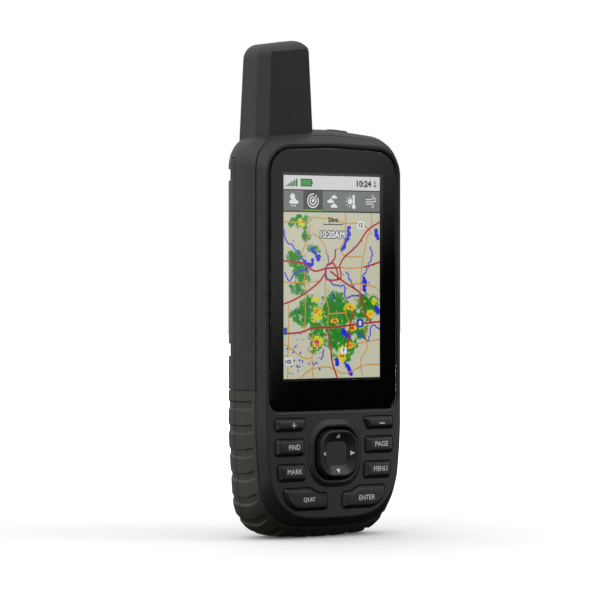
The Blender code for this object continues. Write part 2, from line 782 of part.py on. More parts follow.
def main_board():
    board = prism(case_outline(3.5, 3.9), *BOARD)
    for x, z in BOSSES:
        cut(board, bar(x, z, 5, 8, BOSS_RADIUS + 0.4, sides=16))
    finish(board, "main_board", "board_green")
    shield = stack(rectangle(11.0, 8.0, 32.0, 1.0, x=-8.0), ((6.7, 0.0), (8.2, 0.0), (8.5, -0.3)))
    finish(shield, "rf_shield", "plated_steel")
    finish(bar(13.0, -20.0, 6.7, 8.7, 5.5, sides=24), "buzzer", "card_plastic")
    switch = box((POWER_X - 3, POWER_X + 3), (6.7, 13.0), (40.9, 43.2))
    join(switch, cylinder((POWER_X, POWER_DEPTH, 43.0), (POWER_X, POWER_DEPTH, 44.2), 1.3, sides=12))
    finish(switch, "power_switch", "card_plastic")


def rear_ports():
    """The small board behind the port block, with its two sockets, the lamp and the memory card."""
    finish(box((-10.5, 10.5), (19.0, 19.8), (19.6, 38.6)), "port_board", "board_green")
    shell = box((USB_X - 3.8, USB_X + 3.8), (19.9, 26.4), (PORT_Z - 1.45, PORT_Z + 1.45))
    cut(shell, box((USB_X - 3.4, USB_X + 3.4), (21.0, 28), (PORT_Z - 1.05, PORT_Z + 1.05)))
    join(shell, box((USB_X - 2.4, USB_X + 2.4), (20.5, 25.0), (PORT_Z - 0.35, PORT_Z + 0.25)))
    finish(shell, "usb_socket", "stainless")
    jack = bar(JACK_X, PORT_Z, 19.9, 26.4, 2.4)
    cut(jack, bar(JACK_X, PORT_Z, 21.0, 28.0, 1.5))
    join(jack, bar(JACK_X, PORT_Z, 20.5, 25.0, 0.35, sides=10))
    finish(jack, "antenna_jack", "brass")
    finish(bar(0.0, LAMP_Z, 19.9, 24.2, 1.5, sides=16), "flashlight_led", "ceramic_white")
    finish(bar(0.0, LAMP_Z, 25.6, 28.1, 2.4, sides=24), "flashlight_lens", "lens_glass")
    tray = box((-6.2, 6.2), (10.6, 11.9), (-20.2, -3.8))
    cut(tray, box((-5.65, 5.65), (10.85, 13.0), (-19.7, 0.0)))
    finish(tray, "microsd_socket", "stainless")
    finish(box((-5.5, 5.5), (10.95, 11.65), (-19.5, -4.6)), "microsd_card", "card_plastic")


def weather_cap():
    """A rubber flap with a plug for each socket. It opens about its left edge."""
    cap = stack(
        rectangle(CAP_HALF, CAP_Z[0], CAP_Z[1], 1.3),
        ((CAP_FLOOR + 0.15, 0.0), (BACK - 0.35, 0.0), (BACK - 0.05, -0.3)),
    )
    join(
        cap,
        box((USB_X - 2.9, USB_X + 2.9), (25.4, 27.0), (PORT_Z - 0.75, PORT_Z + 0.75)),
        bar(JACK_X, PORT_Z, 25.4, 27.0, 1.15, sides=12),
    )
    finish(cap, "weather_cap", "seal_rubber", origin=(-CAP_HALF + 0.3, BACK, PORT_Z))


# ---------------------------------------------------------------- battery bay


def coil_spring(name, x, z_wide, z_narrow):
    """A tapered contact spring along z."""
    turns, per_turn, wire = 3.5, 10, 0.35
    wide, narrow = 4.2, 2.2
    count = int(turns * per_turn)
    direction = 1 if z_narrow > z_wide else -1
    span = abs(z_narrow - z_wide) - 2 * wire
    path = []
    for k in range(count + 1):
        share = k / count
        turn = 2 * math.pi * turns * share
        radius = wide + (narrow - wide) * share
        z = z_wide + direction * (wire + span * share)
        path.append((x + radius * math.cos(turn), CELL_DEPTH + radius * math.sin(turn), z))
    return finish(tube(path, wire, (0, 0, 1), sides=5), name, "stainless")


def cell(name, x, z0, nub_up):
    """An AA cell: a label sleeve, a crimped shoulder and a small positive nub."""
    z1 = z0 + CELL_LENGTH
    low, high = (z0, z1 - 1.0) if nub_up else (z0 + 1.0, z1)
    body = cylinder((x, CELL_DEPTH, low), (x, CELL_DEPTH, high), CELL_RADIUS, sides=28)
    nub = (high - 0.2, z1) if nub_up else (z0, low + 0.2)
    join(body, cylinder((x, CELL_DEPTH, nub[0]), (x, CELL_DEPTH, nub[1]), 2.6, sides=16))
    return finish(body, name, "cell_label")


def battery_bay():
    low, high = BAY_Z
    plate = 0.4
    half = BAY_HALF - 0.5
    bridge = box((-half, half), (13.0, 22.8), (low + 0.1, low + 0.1 + plate))
    finish(bridge, "contact_bridge", "plated_steel")
    for name, xs in (("contact_plate_left", (-half, -1.2)), ("contact_plate_right", (1.2, half))):
        finish(box(xs, (13.0, 22.8), (high - 0.1 - plate, high - 0.1)), name, "plated_steel")
    foot, head = low + 0.15 + plate, high - 0.15 - plate
    coil_spring("contact_spring_left", -CELL_X, foot, foot + 4.0)
    coil_spring("contact_spring_right", CELL_X, head, head - 4.0)
    cell("battery_cell_left", -CELL_X, foot + 4.1, nub_up=True)
    cell("battery_cell_right", CELL_X, head - 4.1 - CELL_LENGTH, nub_up=False)
    seal = prism(rounded(rectangle(18.6, low - 3.2, high + 3.2, 2.5), 4), SEAM - 0.05, SEAM + 0.8)
    cut(seal, prism(rounded(rectangle(17.2, low - 2.0, high + 2.0, 1.5), 4), SEAM - 1, SEAM + 2))
    finish(seal, "battery_seal", "seal_rubber")


# ---------------------------------------------------------------- battery cover and latch


def clip_notches():
    """Four notches in the cover's rear edges, where a clip's tabs would reach round."""
    bm = bmesh.new()
    for side in (-1, 1):
        for z0, z1 in ((31.5, 35.4), (-25.9, -21.8)):
            made = bmesh.ops.create_cube(bm, size=1.0)["verts"]
            bmesh.ops.scale(bm, verts=made, vec=(3.0, 12.0, z1 - z0))
            bmesh.ops.rotate(bm, verts=made, matrix=Matrix.Rotation(math.radians(38 * side), 3, "Z"))
            bmesh.ops.translate(bm, verts=made, vec=(side * 29.6, 19.4, (z0 + z1) / 2))
    return solid("tool", bm)


def battery_cover():
    shell = keep(case_body(SEAM + HALF_GAP, BACK), cover_region(-HALF_GAP, SEAM - 3, BACK + 3))
    cut(shell, case_body(SEAM - 0.8, COVER_BACK, COVER_WALL))
    # Inner rim round the port notch, so the cover stays closed there.
    rim = keep(case_body(SEAM + 2.0, COVER_BACK + 0.5, 1.0), cover_region(-HALF_GAP, SEAM - 3, BACK + 3))
    cut(rim, cover_region(-1.8, SEAM, BACK + 3))
    join(shell, rim)
    join(shell, bar(0, LATCH_Z, 23.7, COVER_BACK + 0.5, 12.4, sides=32))
    cut(shell, skin(-1.5, GRIP_THICK + 0.15, SEAM - 1, COVER_GRIP_BACK + 0.2, GRIP_TOP + HALF_GAP))
    cut(shell, clip_notches())
    join(shell, spine())
    cut(
        shell,
        bar(0, LATCH_Z, LATCH_FLOOR, BACK + 3, LATCH_RECESS, sides=40),
        bar(0, LATCH_Z, 20, BACK, 3.25, sides=24),
    )
    return finish(shell, "battery_cover", "case_plastic", origin=(0.0, SEAM, COVER_TOP))


def spine():
    """The mounting spine: a rail with an undercut on each side for a clip or a bracket."""
    z0, z1 = SPINE_Z
    neck = box((-SPINE_NECK_HALF, SPINE_NECK_HALF), (27.2, 31.0), (z0 + 1.5, z1 - 1.5))
    levels = ((30.1, -0.4), (30.5, 0.0), (31.8, 0.0), (SPINE_BACK, -0.5))
    return join(neck, stack(rectangle(SPINE_HALF, z0, z1, 2.0), levels))


def latch():
    """A quarter-turn latch: a round head, a shaft through the cover and a cam at its end."""
    barrel = bar(0, LATCH_Z, LATCH_FLOOR + 0.1, 27.2, LATCH_RECESS - 0.4, sides=36)
    join(
        barrel,
        bar(0, LATCH_Z, 15.0, LATCH_FLOOR + 0.6, 3.0, sides=20),
        box((-5.6, 5.6), (14.2, 16.0), (LATCH_Z - 1.7, LATCH_Z + 1.7)),
        box((-4.1, 4.1), (26.8, 29.5), (LATCH_Z - 1.3, LATCH_Z + 1.3)),
    )
    pin_line = ((-12, BAIL_DEPTH, LATCH_Z), (12, BAIL_DEPTH, LATCH_Z))
    cut(barrel, cylinder(*pin_line, 0.7, sides=12))
    finish(barrel, "latch_barrel", "case_plastic", origin=(0.0, LATCH_FLOOR, LATCH_Z))
    clip = ring_bar(0, LATCH_Z, 22.7, 23.5, 5.2, 3.15, sides=24)
    finish(clip, "latch_retaining_ring", "stainless")
    pin = cylinder((-8.4, BAIL_DEPTH, LATCH_Z), (8.4, BAIL_DEPTH, LATCH_Z), 0.58, sides=12)
    finish(pin, "bail_pin", "stainless")
    bail = bail_ring(pin_line)
    for piece in (clip, pin, bail):
        attach(piece, barrel)
    return barrel


def bail_ring(pin_line):
    """The D-shaped lifting ring: half a hoop and two knuckles on the pin."""
    outer, inner = 9.7, 7.4
    hoop = bar(0, LATCH_Z, BAIL_DEPTH - 0.8, BAIL_DEPTH + 0.8, outer, sides=40)
    cut(
        hoop,
        bar(0, LATCH_Z, 20, 35, inner, sides=40),
        box((-12, 12), (20, 35), (LATCH_Z, LATCH_Z + 20)),
    )
    for side in (-1, 1):
        ends = (side * 4.4, side * 9.4)
        knuckle = cylinder(*((x, BAIL_DEPTH, LATCH_Z) for x in ends), 1.0, sides=14)
        join(hoop, knuckle)
    cut(hoop, cylinder(*pin_line, 0.7, sides=12))
    return finish(hoop, "bail_ring", "stainless", origin=(0.0, BAIL_DEPTH, LATCH_Z))


# ---------------------------------------------------------------- fasteners


def case_screw(number, x, z):
    """A pan-head screw from the battery side into a boss of the front case."""
    screw = bar(x, z, 3.2, 12.3, 0.78, sides=10)
    join(screw, bar(x, z, 12.1, 13.1, 1.8, sides=16))
    cut(screw, box((x - 1.1, x + 1.1), (12.7, 14), (z - 0.22, z + 0.22)))
    return finish(screw, f"case_screw_{number}", "stainless")


def build():
    for old in list(bpy.data.objects):
        bpy.data.objects.remove(old)
    front_case()
    lens_stack()
    screen_stack()
    for name, corners in KEY_SHAPES.items():
        key(name, corners)
    rocker()
    keypad_membrane()
    power_button()
    rear_case()
    grip("grip_boot", PARTING + HALF_GAP, SEAM - HALF_GAP, 4.9, SEAM + 2)
    case_seal()
    antenna()
    main_board()
    rear_ports()
    weather_cap()
    battery_bay()
    cover = battery_cover()
    cover_grip = grip("cover_grip", SEAM + HALF_GAP, COVER_GRIP_BACK, SEAM - 2, 22.4)
    for piece in (cover_grip, latch()):
        attach(piece, cover)
    for number, (x, z) in enumerate(BOSSES, start=1):
        case_screw(number, x, z)


build()
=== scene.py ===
"""Looks for a rugged hand-held satellite navigator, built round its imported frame.

Every place is worked out in the design frame, in millimetres:
    x  to the right, seen from the front
    d  depth, back from the flat front face
    z  up from the centre of the screen
The frame's own nodes say where that frame's origin sits, see world() below.
"""

import json
import math
import random
from collections import namedtuple
from functools import partial

import bmesh
import bpy
from mathutils import Matrix, Vector

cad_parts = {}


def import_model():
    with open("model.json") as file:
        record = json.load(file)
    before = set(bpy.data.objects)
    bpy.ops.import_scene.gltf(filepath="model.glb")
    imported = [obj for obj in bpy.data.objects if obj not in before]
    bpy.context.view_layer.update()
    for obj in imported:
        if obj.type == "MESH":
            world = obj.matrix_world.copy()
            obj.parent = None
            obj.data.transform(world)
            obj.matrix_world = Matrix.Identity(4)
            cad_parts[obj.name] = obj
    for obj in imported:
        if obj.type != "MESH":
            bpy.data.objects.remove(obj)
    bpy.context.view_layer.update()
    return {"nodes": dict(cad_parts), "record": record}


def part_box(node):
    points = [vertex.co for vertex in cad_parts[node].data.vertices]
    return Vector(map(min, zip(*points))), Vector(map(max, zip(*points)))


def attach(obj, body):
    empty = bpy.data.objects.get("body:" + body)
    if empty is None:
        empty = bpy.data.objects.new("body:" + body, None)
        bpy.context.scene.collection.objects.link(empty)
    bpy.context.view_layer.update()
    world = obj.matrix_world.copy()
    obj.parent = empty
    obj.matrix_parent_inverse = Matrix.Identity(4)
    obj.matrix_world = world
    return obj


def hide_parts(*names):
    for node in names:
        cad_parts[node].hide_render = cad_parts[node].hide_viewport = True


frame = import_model()
NODES = frame["nodes"]
MM = 0.001

# ---------------------------------------------------------------- places taken from the frame

LENS_RECESS = 0.2


def span(node, axis):
    """Lowest and highest coordinate of a node along x, y or z (0, 1, 2), in millimetres."""
    low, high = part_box(node)
    return low[axis] / MM, high[axis] / MM


FACE_Y = span("display_lens", 1)[0] - LENS_RECESS
SCREEN_Z = sum(span("lcd_frame", 2)) / 2


def world(x, d, z):
    """A design point in metres, in the frame's own axes."""
    return Vector((x, d + FACE_Y, z + SCREEN_Z)) * MM


def across(node):
    return span(node, 0)


def depth(node):
    low, high = span(node, 1)
    return low - FACE_Y, high - FACE_Y


def height(node):
    low, high = span(node, 2)
    return low - SCREEN_Z, high - SCREEN_Z


# ---------------------------------------------------------------- the case's form

Section = namedtuple("Section", "depth half_width top sag bottom top_radius bottom_radius")
SECTIONS = (
    Section(0.0, 27.7, 44.0, 0.8, -78.9, 10.0, 16.5),
    Section(3.5, 29.6, 46.9, 1.9, -82.3, 10.2, 15.6),
    Section(9.0, 31.0, 49.2, 3.0, -85.6, 10.5, 14.4),
    Section(13.5, 30.9, 49.2, 3.0, -85.6, 10.5, 14.4),
    Section(20.0, 28.5, 48.2, 3.0, -85.6, 10.0, 14.0),
    Section(25.5, 23.0, 46.0, 2.3, -80.5, 9.0, 11.0),
    Section(28.2, 19.5, 43.5, 1.9, -76.0, 8.0, 7.5),
)
BACK = SECTIONS[-1].depth
BOTTOM_RISE = 1.2
WAIST_Z = -53.0
WAIST_TAPER = 2.6
WAIST_RADIUS = 130.0
ARCH_RADIUS = 100.0
FOOT_HALF = 6.0
FOOT_RADIUS = 40.0
PARTING = 3.5
SEAM = 13.5
HALF_GAP = 0.15

LENS_HALF_WIDTH = across("display_lens")[1]
LENS_BOTTOM, LENS_TOP = height("display_lens")
LENS_BACK = depth("display_lens")[1]
LENS_POCKET = 1.5
WINDOW_HALF = (20.7, 34.0)
SCREEN_HALF = (19.9, 33.15)

ROCKER_Z = sum(height("rocker_pad")) / 2
ROCKER_PAD_HALF = across("rocker_pad")[1]
ROCKER_WELL_HALF = ROCKER_PAD_HALF + 1.0
ROCKER_RIM = depth("rocker_pad")[0]

GRIP_TOP = -36.8
GRIP_THICK = 1.2
COVER_GRIP_BACK = depth("cover_grip")[1]


# ---------------------------------------------------------------- outlines


def rounded(corners, steps=8):
    """A closed outline from (x, z, radius) corners, each turned into an arc of steps + 1 points."""
    points = []
    for i, (x, z, radius) in enumerate(corners):
        corner = Vector((x, z))
        before = (Vector(corners[i - 1][:2]) - corner).normalized()
        after = (Vector(corners[(i + 1) % len(corners)][:2]) - corner).normalized()
        half_angle = before.angle(after) / 2
        centre = corner + (before + after).normalized() * radius / math.sin(half_angle)
        reach = radius / math.tan(half_angle)
        start = corner + before * reach - centre
        sweep = start.angle_signed(corner + after * reach - centre)
        for k in range(steps + 1):
            turn = Matrix.Rotation(-sweep * k / steps, 2)
            points.append(tuple(centre + turn @ start))
    return points


def offset(corners, distance):
    """The same (x, z, radius) corners with every side moved out by distance, or in if negative."""
    count = len(corners)
    area = sum(
        corners[i - 1][0] * corners[i][1] - corners[i][0] * corners[i - 1][1]
        for i in range(count)
    )
    side = 1 if area > 0 else -1
    moved = []
    for i, (x, z, radius) in enumerate(corners):
        corner = Vector((x, z))
        along_in = (corner - Vector(corners[i - 1][:2])).normalized()
        along_out = (Vector(corners[(i + 1) % count][:2]) - corner).normalized()
        normal_in = Vector((along_in.y, -along_in.x)) * side
        normal_out = Vector((along_out.y, -along_out.x)) * side
        mitre = (normal_in + normal_out) / (1 + normal_in.dot(normal_out))
        convex = along_in.cross(along_out) * side > 0
        grown = radius + distance if convex else radius - distance
        moved.append((*(corner + mitre * distance), max(grown, 0.15)))
    return moved


def rectangle(half_x, z0, z1, radius, x=0.0):
    left, right = x - half_x, x + half_x
    return (left, z0, radius), (right, z0, radius), (right, z1, radius), (left, z1, radius)


def hermite(a, b, slope_a, slope_b, span_ab, share):
    """A cubic from a to b with the given end slopes."""
    s2, s3 = share**2, share**3
    return (
        a * (2 * s3 - 3 * s2 + 1)
        + slope_a * span_ab * (s3 - 2 * s2 + share)
        + b * (3 * s2 - 2 * s3)
        + slope_b * span_ab * (s3 - s2)
    )


def slope_at(i, field):
    """Slope of one section field at section i, flat where the field turns round."""
    rises = []
    for a, b in ((i - 1, i), (i, i + 1)):
        if 1 <= a and b < len(SECTIONS):
            rise = SECTIONS[b][field] - SECTIONS[a][field]
            rises.append(rise / (SECTIONS[b].depth - SECTIONS[a].depth))
    if len(rises) == 2 and rises[0] * rises[1] <= 0:
        return 0.0
    return sum(rises) / len(rises)


def section_at(d):
    """The case section at depth d: straight in the front case, a smooth curve behind it."""
    i = next((k for k in range(1, len(SECTIONS)) if d <= SECTIONS[k].depth), len(SECTIONS) - 1) - 1
    shallow, deep = SECTIONS[i], SECTIONS[i + 1]
    gap = deep.depth - shallow.depth
    share = (d - shallow.depth) / gap
    if i == 0 or share > 1:
        return Section(*(a + (b - a) * share for a, b in zip(shallow, deep)))
    values = [
        hermite(shallow[f], deep[f], slope_at(i, f), slope_at(i + 1, f), gap, share)
        for f in range(1, len(shallow))
    ]
    return Section(d, *values)


def case_outline(d, inset=0.0, steps=12):
    """The case's outline at a depth: an arched top, straight flanks, a taper and a foot it can stand on."""
    s = section_at(d)
    half, top, bottom = s.half_width - inset, s.top - inset, s.bottom + inset
    top_radius = max(s.top_radius - inset, 1.0)
    bottom_radius = max(s.bottom_radius - inset, 1.0)
    right = (
        (half, top - s.sag, top_radius),
        (half, WAIST_Z, WAIST_RADIUS),
        (half - WAIST_TAPER, bottom + BOTTOM_RISE, bottom_radius),
        (FOOT_HALF, bottom, FOOT_RADIUS),
    )
    left = tuple((-x, z, r) for x, z, r in reversed(right))
    return rounded(((0, top, ARCH_RADIUS), *right, *left), steps)


# ---------------------------------------------------------------- solids


def steps_between(start, end, step):
    """Evenly spaced values from start to end, no further apart than step."""
    count = max(1, math.ceil(abs(end - start) / step))
    return [start + (end - start) * k / count for k in range(count + 1)]


def link_object(name, data):
    """A new object in the scene."""
    made = bpy.data.objects.new(name, data)
    bpy.context.scene.collection.objects.link(made)
    return made


def to_object(bm):
    """An object from a bmesh in design millimetres, its faces turned outwards. dress() names it."""
    bm.normal_update()
    bmesh.ops.recalc_face_normals(bm, faces=bm.faces)
    for vert in bm.verts:
        vert.co = world(*vert.co)
    mesh = bpy.data.meshes.new("tool")
    bm.to_mesh(mesh)
    bm.free()
    return link_object("tool", mesh)


def loft(rings):
    """A closed solid through rings of design points, all of one count, with flat ends."""
    bm = bmesh.new()
    layers = [[bm.verts.new(point) for point in ring] for ring in rings]
    count = len(layers[0])
    for near, far in zip(layers, layers[1:]):
        for i in range(count):
            j = (i + 1) % count
            bm.faces.new((near[i], near[j], far[j], far[i]))
    bm.faces.new(layers[0])
    bm.faces.new(layers[-1])
    return to_object(bm)


def stack(corners, levels, steps=8):
    """An (x, z, radius) shape lofted through (depth, outward margin) levels."""
    rings = []
    for d, margin in levels:
        rings.append([(x, d, z) for x, z in rounded(offset(corners, margin), steps)])
    return loft(rings)


def prism(outline, d0, d1):
    return loft([[(x, d, z) for x, z in outline] for d in (d0, d1)])


def box(xs, ds, zs):
    return prism([(xs[0], zs[0]), (xs[1], zs[0]), (xs[1], zs[1]), (xs[0], zs[1])], *ds)


def bar(x, z, d0, d1, radius, sides=48):
    """A round bar along the depth axis."""
    bm = bmesh.new()
    bmesh.ops.create_cone(bm, cap_ends=True, segments=sides, radius1=radius, radius2=radius, depth=d1 - d0)
    facing = Vector((0, 1, 0)).to_track_quat("Z", "Y").to_matrix().to_4x4()
    bm.transform(Matrix.Translation((x, (d0 + d1) / 2, z)) @ facing)
    return to_object(bm)


def lathe(z, levels, sides=64):
    """A turned solid on the middle line, along the depth axis through (depth, radius) levels."""
    turns = [2 * math.pi * k / sides for k in range(sides)]
    return loft([[(r * math.cos(t), d, z + r * math.sin(t)) for t in turns] for d, r in levels])


def boolean(operation, target, tool):
    """Applies one exact Boolean and removes the tool."""
    modifier = target.modifiers.new(operation, "BOOLEAN")
    modifier.operation = operation
    modifier.solver = "EXACT"
    modifier.object = tool
    graph = bpy.context.evaluated_depsgraph_get()
    mesh = bpy.data.meshes.new_from_object(target.evaluated_get(graph))
    target.modifiers.clear()
    spent = (target.data, tool.data)
    target.data = mesh
    bpy.data.objects.remove(tool)
    for old in spent:
        bpy.data.meshes.remove(old)


def combine(operation, target, *tools):
    """Applies Booleans one after another."""
    for tool in tools:
        boolean(operation, target, tool)
    return target


cut = partial(combine, "DIFFERENCE")
join = partial(combine, "UNION")
keep = partial(combine, "INTERSECT")


def round_over(radius, turn=90.0, steps=5):
    """(run, drop) pairs along an arc that starts flat and turns down by turn degrees."""
    pairs = []
    for k in range(steps + 1):
        angle = math.radians(turn) * k / steps
        pairs.append((radius * math.sin(angle), radius * (1 - math.cos(angle))))
    return pairs


def dress(piece, name, body, paint, replaced=(), smooth_angle=32.0):
    """Names, shades and paints a piece, and makes it ride on its body."""
    piece.name = name
    piece.data.name = name
    piece.data.materials.clear()
    piece.data.materials.append(paint)
    piece.data.shade_smooth()
    piece.data.set_sharp_from_angle(angle=math.radians(smooth_angle))
    weigh = piece.modifiers.new("weighted_normals", "WEIGHTED_NORMAL")
    weigh.keep_sharp = True
    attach(piece, body)
    if replaced:
        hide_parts(*replaced)
    return piece


# ---------------------------------------------------------------- material building blocks

WHITE = (1.0, 1.0, 1.0, 1.0)


def feed(tree, target, inputs):
    """Sets a node's inputs from (name or index, value or output socket) pairs."""
    for key, value in inputs:
        if isinstance(value, bpy.types.NodeSocket):
            tree.links.new(value, target.inputs[key])
        else:
            target.inputs[key].default_value = value


def node(tree, kind, inputs=(), **settings):
    """Adds a shader node with its settings and inputs."""
    made = tree.nodes.new("ShaderNode" + kind)
    for key, value in settings.items():
        setattr(made, key, value)
    feed(tree, made, inputs)
    return made


def maths(tree, operation, *values, clamp=False):
    pairs = list(enumerate(values))
    return node(tree, "Math", pairs, operation=operation, use_clamp=clamp).outputs[0]


def ramp(tree, value, low, high, start=0.0, end=1.0):
    """A smooth step of value between low and high."""
    pairs = (("Value", value), ("From Min", low), ("From Max", high), ("To Min", start), ("To Max", end))
    return node(tree, "MapRange", pairs, interpolation_type="SMOOTHSTEP").outputs["Result"]


def noise(tree, place, size, detail=2.0, roughness=0.5, stretch=(1.0, 1.0, 1.0)):
    """Noise whose features measure about size, in millimetres."""
    grid = node(tree, "Mapping", (("Vector", place), ("Scale", stretch)))
    pairs = (
        ("Vector", grid.outputs[0]),
        ("Scale", 1.0 / (size * MM)),
        ("Detail", detail),
        ("Roughness", roughness),
    )
    return node(tree, "TexNoise", pairs).outputs["Fac"]


def blend_colours(tree, share, low, high):
    """A colour between two. The Mix node keeps its colour sockets at 6 and 7 in, and 2 out."""
    return node(tree, "Mix", ((0, share), (6, low), (7, high)), data_type="RGBA").outputs[2]


def opaque(colour):
    return (*colour, 1.0)


def scaled(colour, factor):
    return tuple(channel * factor for channel in colour)


def new_material(name):
    """A material, its node tree, its shader and the place of each point in the object."""
    made = bpy.data.materials.new(name)
    made.use_nodes = True
    tree = made.node_tree
    return made, tree, tree.nodes["Principled BSDF"], node(tree, "TexCoord").outputs["Object"]


def edge_share(tree, radius):
    """How much a point lies on an outer edge, from the way a bevel would turn its normal."""
    bevel = node(tree, "Bevel", (("Radius", radius * MM),), samples=4)
    plain = node(tree, "NewGeometry")
    normals = ((0, bevel.outputs[0]), (1, plain.outputs["Normal"]))
    aligned = node(tree, "VectorMath", normals, operation="DOT_PRODUCT").outputs["Value"]
    return ramp(tree, aligned, 0.995, 0.88)


def relief(tree, surface, strength, deep):
    """A normal bumped by a surface height, up to deep millimetres."""
    pairs = (("Strength", strength), ("Distance", deep * MM), ("Height", surface))
    return node(tree, "Bump", pairs).outputs[0]


def moulded(name, colour, roughness, grain=0.3, bump=0.25, edge_highlight=0.5, mottle=0.12, specular=0.5):
    """Moulded plastic or rubber: fine grain, cloudy colour and gloss, and a painted highlight that lightens
    its outer edges in patches.
    """
    made, tree, shader, place = new_material(name)
    cloud = noise(tree, place, 9.0, detail=4.0)
    fine = noise(tree, place, grain, detail=3.0, roughness=0.6)
    coarse = noise(tree, place, grain * 4.5, detail=2.0)
    dark = opaque(scaled(colour, 1.0 - mottle))
    light = opaque(scaled(colour, 1.0 + mottle))
    body = blend_colours(tree, ramp(tree, cloud, 0.3, 0.7), dark, light)
    # Painted highlight: outer edges are lightened towards a paler colour, in patches from coarse noise, and
    # made a little glossier.
    edges = maths(tree, "MULTIPLY", edge_share(tree, 0.35), ramp(tree, coarse, 0.35, 0.65))
    edges = maths(tree, "MULTIPLY", edges, edge_highlight)
    edge_highlight_colour = opaque(tuple(min(channel * 1.9 + 0.02, 1.0) for channel in colour))
    gloss = maths(tree, "MULTIPLY_ADD", fine, 0.10, roughness - 0.05)
    gloss = maths(tree, "MULTIPLY_ADD", cloud, 0.08, maths(tree, "SUBTRACT", gloss, 0.04))
    gloss = maths(tree, "MULTIPLY_ADD", edges, -0.12, gloss)
    surface = maths(tree, "MULTIPLY_ADD", coarse, 0.5, fine)
    feed(tree, shader, (
        ("Base Color", blend_colours(tree, edges, body, edge_highlight_colour)),
        ("Roughness", gloss),
        ("Specular IOR Level", specular),
        ("Normal", relief(tree, surface, bump, 0.03)),
    ))
    return made


def metal(name, colour, roughness, brush=(1.0, 1.0, 1.0), grain=0.5):
    """Bare metal with fine lines along one axis and faint stains."""
    made, tree, shader, place = new_material(name)
    lines = noise(tree, place, grain, detail=3.0, stretch=brush)
    stain = noise(tree, place, 3.0, detail=4.0)
    dull = opaque(scaled(colour, 0.75))
    tone = blend_colours(tree, ramp(tree, stain, 0.35, 0.75), opaque(colour), dull)
    gloss = maths(tree, "MULTIPLY_ADD", lines, 0.25, roughness - 0.12)
    gloss = maths(tree, "MULTIPLY_ADD", stain, 0.15, gloss)
    feed(tree, shader, (
        ("Base Color", tone),
        ("Metallic", 1.0),
        ("Roughness", gloss),
        ("Normal", relief(tree, lines, 0.2, 0.01)),
    ))
    return made


def clear_lens(name):
    """Clear moulded lens, with the faintest smears in its gloss."""
    made, tree, shader, place = new_material(name)
    smear = noise(tree, place, 14.0, detail=5.0, stretch=(1.0, 1.0, 0.35))
    feed(tree, shader, (
        ("Base Color", (0.97, 0.98, 0.98, 1.0)),
        ("Roughness", ramp(tree, smear, 0.45, 0.8, 0.0, 0.05)),
        ("Transmission Weight", 1.0),
        ("IOR", 1.49),
    ))
    return made


def lit(name, colour):
    """Part of the picture on the display: it gives off its own light, with a faint pixel grid."""
    made, tree, shader, place = new_material(name)
    dim = opaque(scaled(colour, PIXEL_GAP))
    feed(tree, shader, (
        ("Base Color", UNLIT),
        ("Roughness", 0.6),
        ("Emission Color", blend_colours(tree, pixel_grid(tree, place), dim, opaque(colour))),
        ("Emission Strength", PICTURE_GLOW),
    ))
    return made


PIXEL = 2 * SCREEN_HALF[0] / 240
PIXEL_GAP = 0.93
PICTURE_GLOW = 1.12
UNLIT = (0.01, 0.01, 0.01, 1.0)


def pixel_grid(tree, place):
    """1 on the display's pixels and 0 in the dark lines between them."""
    split = node(tree, "SeparateXYZ", ((0, place),))
    share = None
    for axis in ("X", "Z"):
        steps = maths(tree, "DIVIDE", split.outputs[axis], PIXEL * MM)
        within = maths(tree, "PINGPONG", steps, 0.5)
        line = ramp(tree, within, 0.02, 0.12)
        share = line if share is None else maths(tree, "MULTIPLY", share, line)
    return share


def board_mask(name):
    """Green solder mask over copper tracks, with pale dots where the parts are soldered."""
    made, tree, shader, place = new_material(name)
    grid = node(
        tree, "TexBrick",
        (("Vector", place), ("Scale", 380.0), ("Mortar Size", 0.05), ("Color1", (0.012, 0.10, 0.04, 1)),
         ("Color2", (0.016, 0.13, 0.05, 1)), ("Mortar", (0.03, 0.19, 0.08, 1))),
    )
    cells = node(tree, "TexVoronoi", (("Vector", place), ("Scale", 700.0)))
    dots = ramp(tree, cells.outputs["Distance"], 0.18, 0.12)
    colour = blend_colours(tree, dots, grid.outputs["Color"], (0.5, 0.48, 0.42, 1.0))
    feed(tree, shader, (("Base Color", colour), ("Roughness", ramp(tree, dots, 0.0, 1.0, 0.4, 0.25))))
    return made


def cell_sleeve(name):
    """Printed cell sleeve: dark body and a copper-brown band towards the positive end."""
    made, tree, shader, place = new_material(name)
    split = node(tree, "SeparateXYZ", ((0, place),))
    low, high = (edge * MM for edge in span("battery_cell_left", 2))
    band = ramp(tree, split.outputs["Z"], low + (high - low) * 0.70, low + (high - low) * 0.705)
    scuffs = noise(tree, place, 2.0, detail=5.0)
    colour = blend_colours(tree, band, (0.02, 0.02, 0.022, 1.0), (0.42, 0.16, 0.05, 1.0))
    colour = blend_colours(tree, ramp(tree, scuffs, 0.55, 0.9, 0.0, 0.3), colour, (0.5, 0.45, 0.4, 1.0))
    gloss = ramp(tree, scuffs, 0.2, 0.8, 0.22, 0.42)
    feed(tree, shader, (("Base Color", colour), ("Metallic", 0.5), ("Roughness", gloss)))
    return made


# ---------------------------------------------------------------- the object's materials

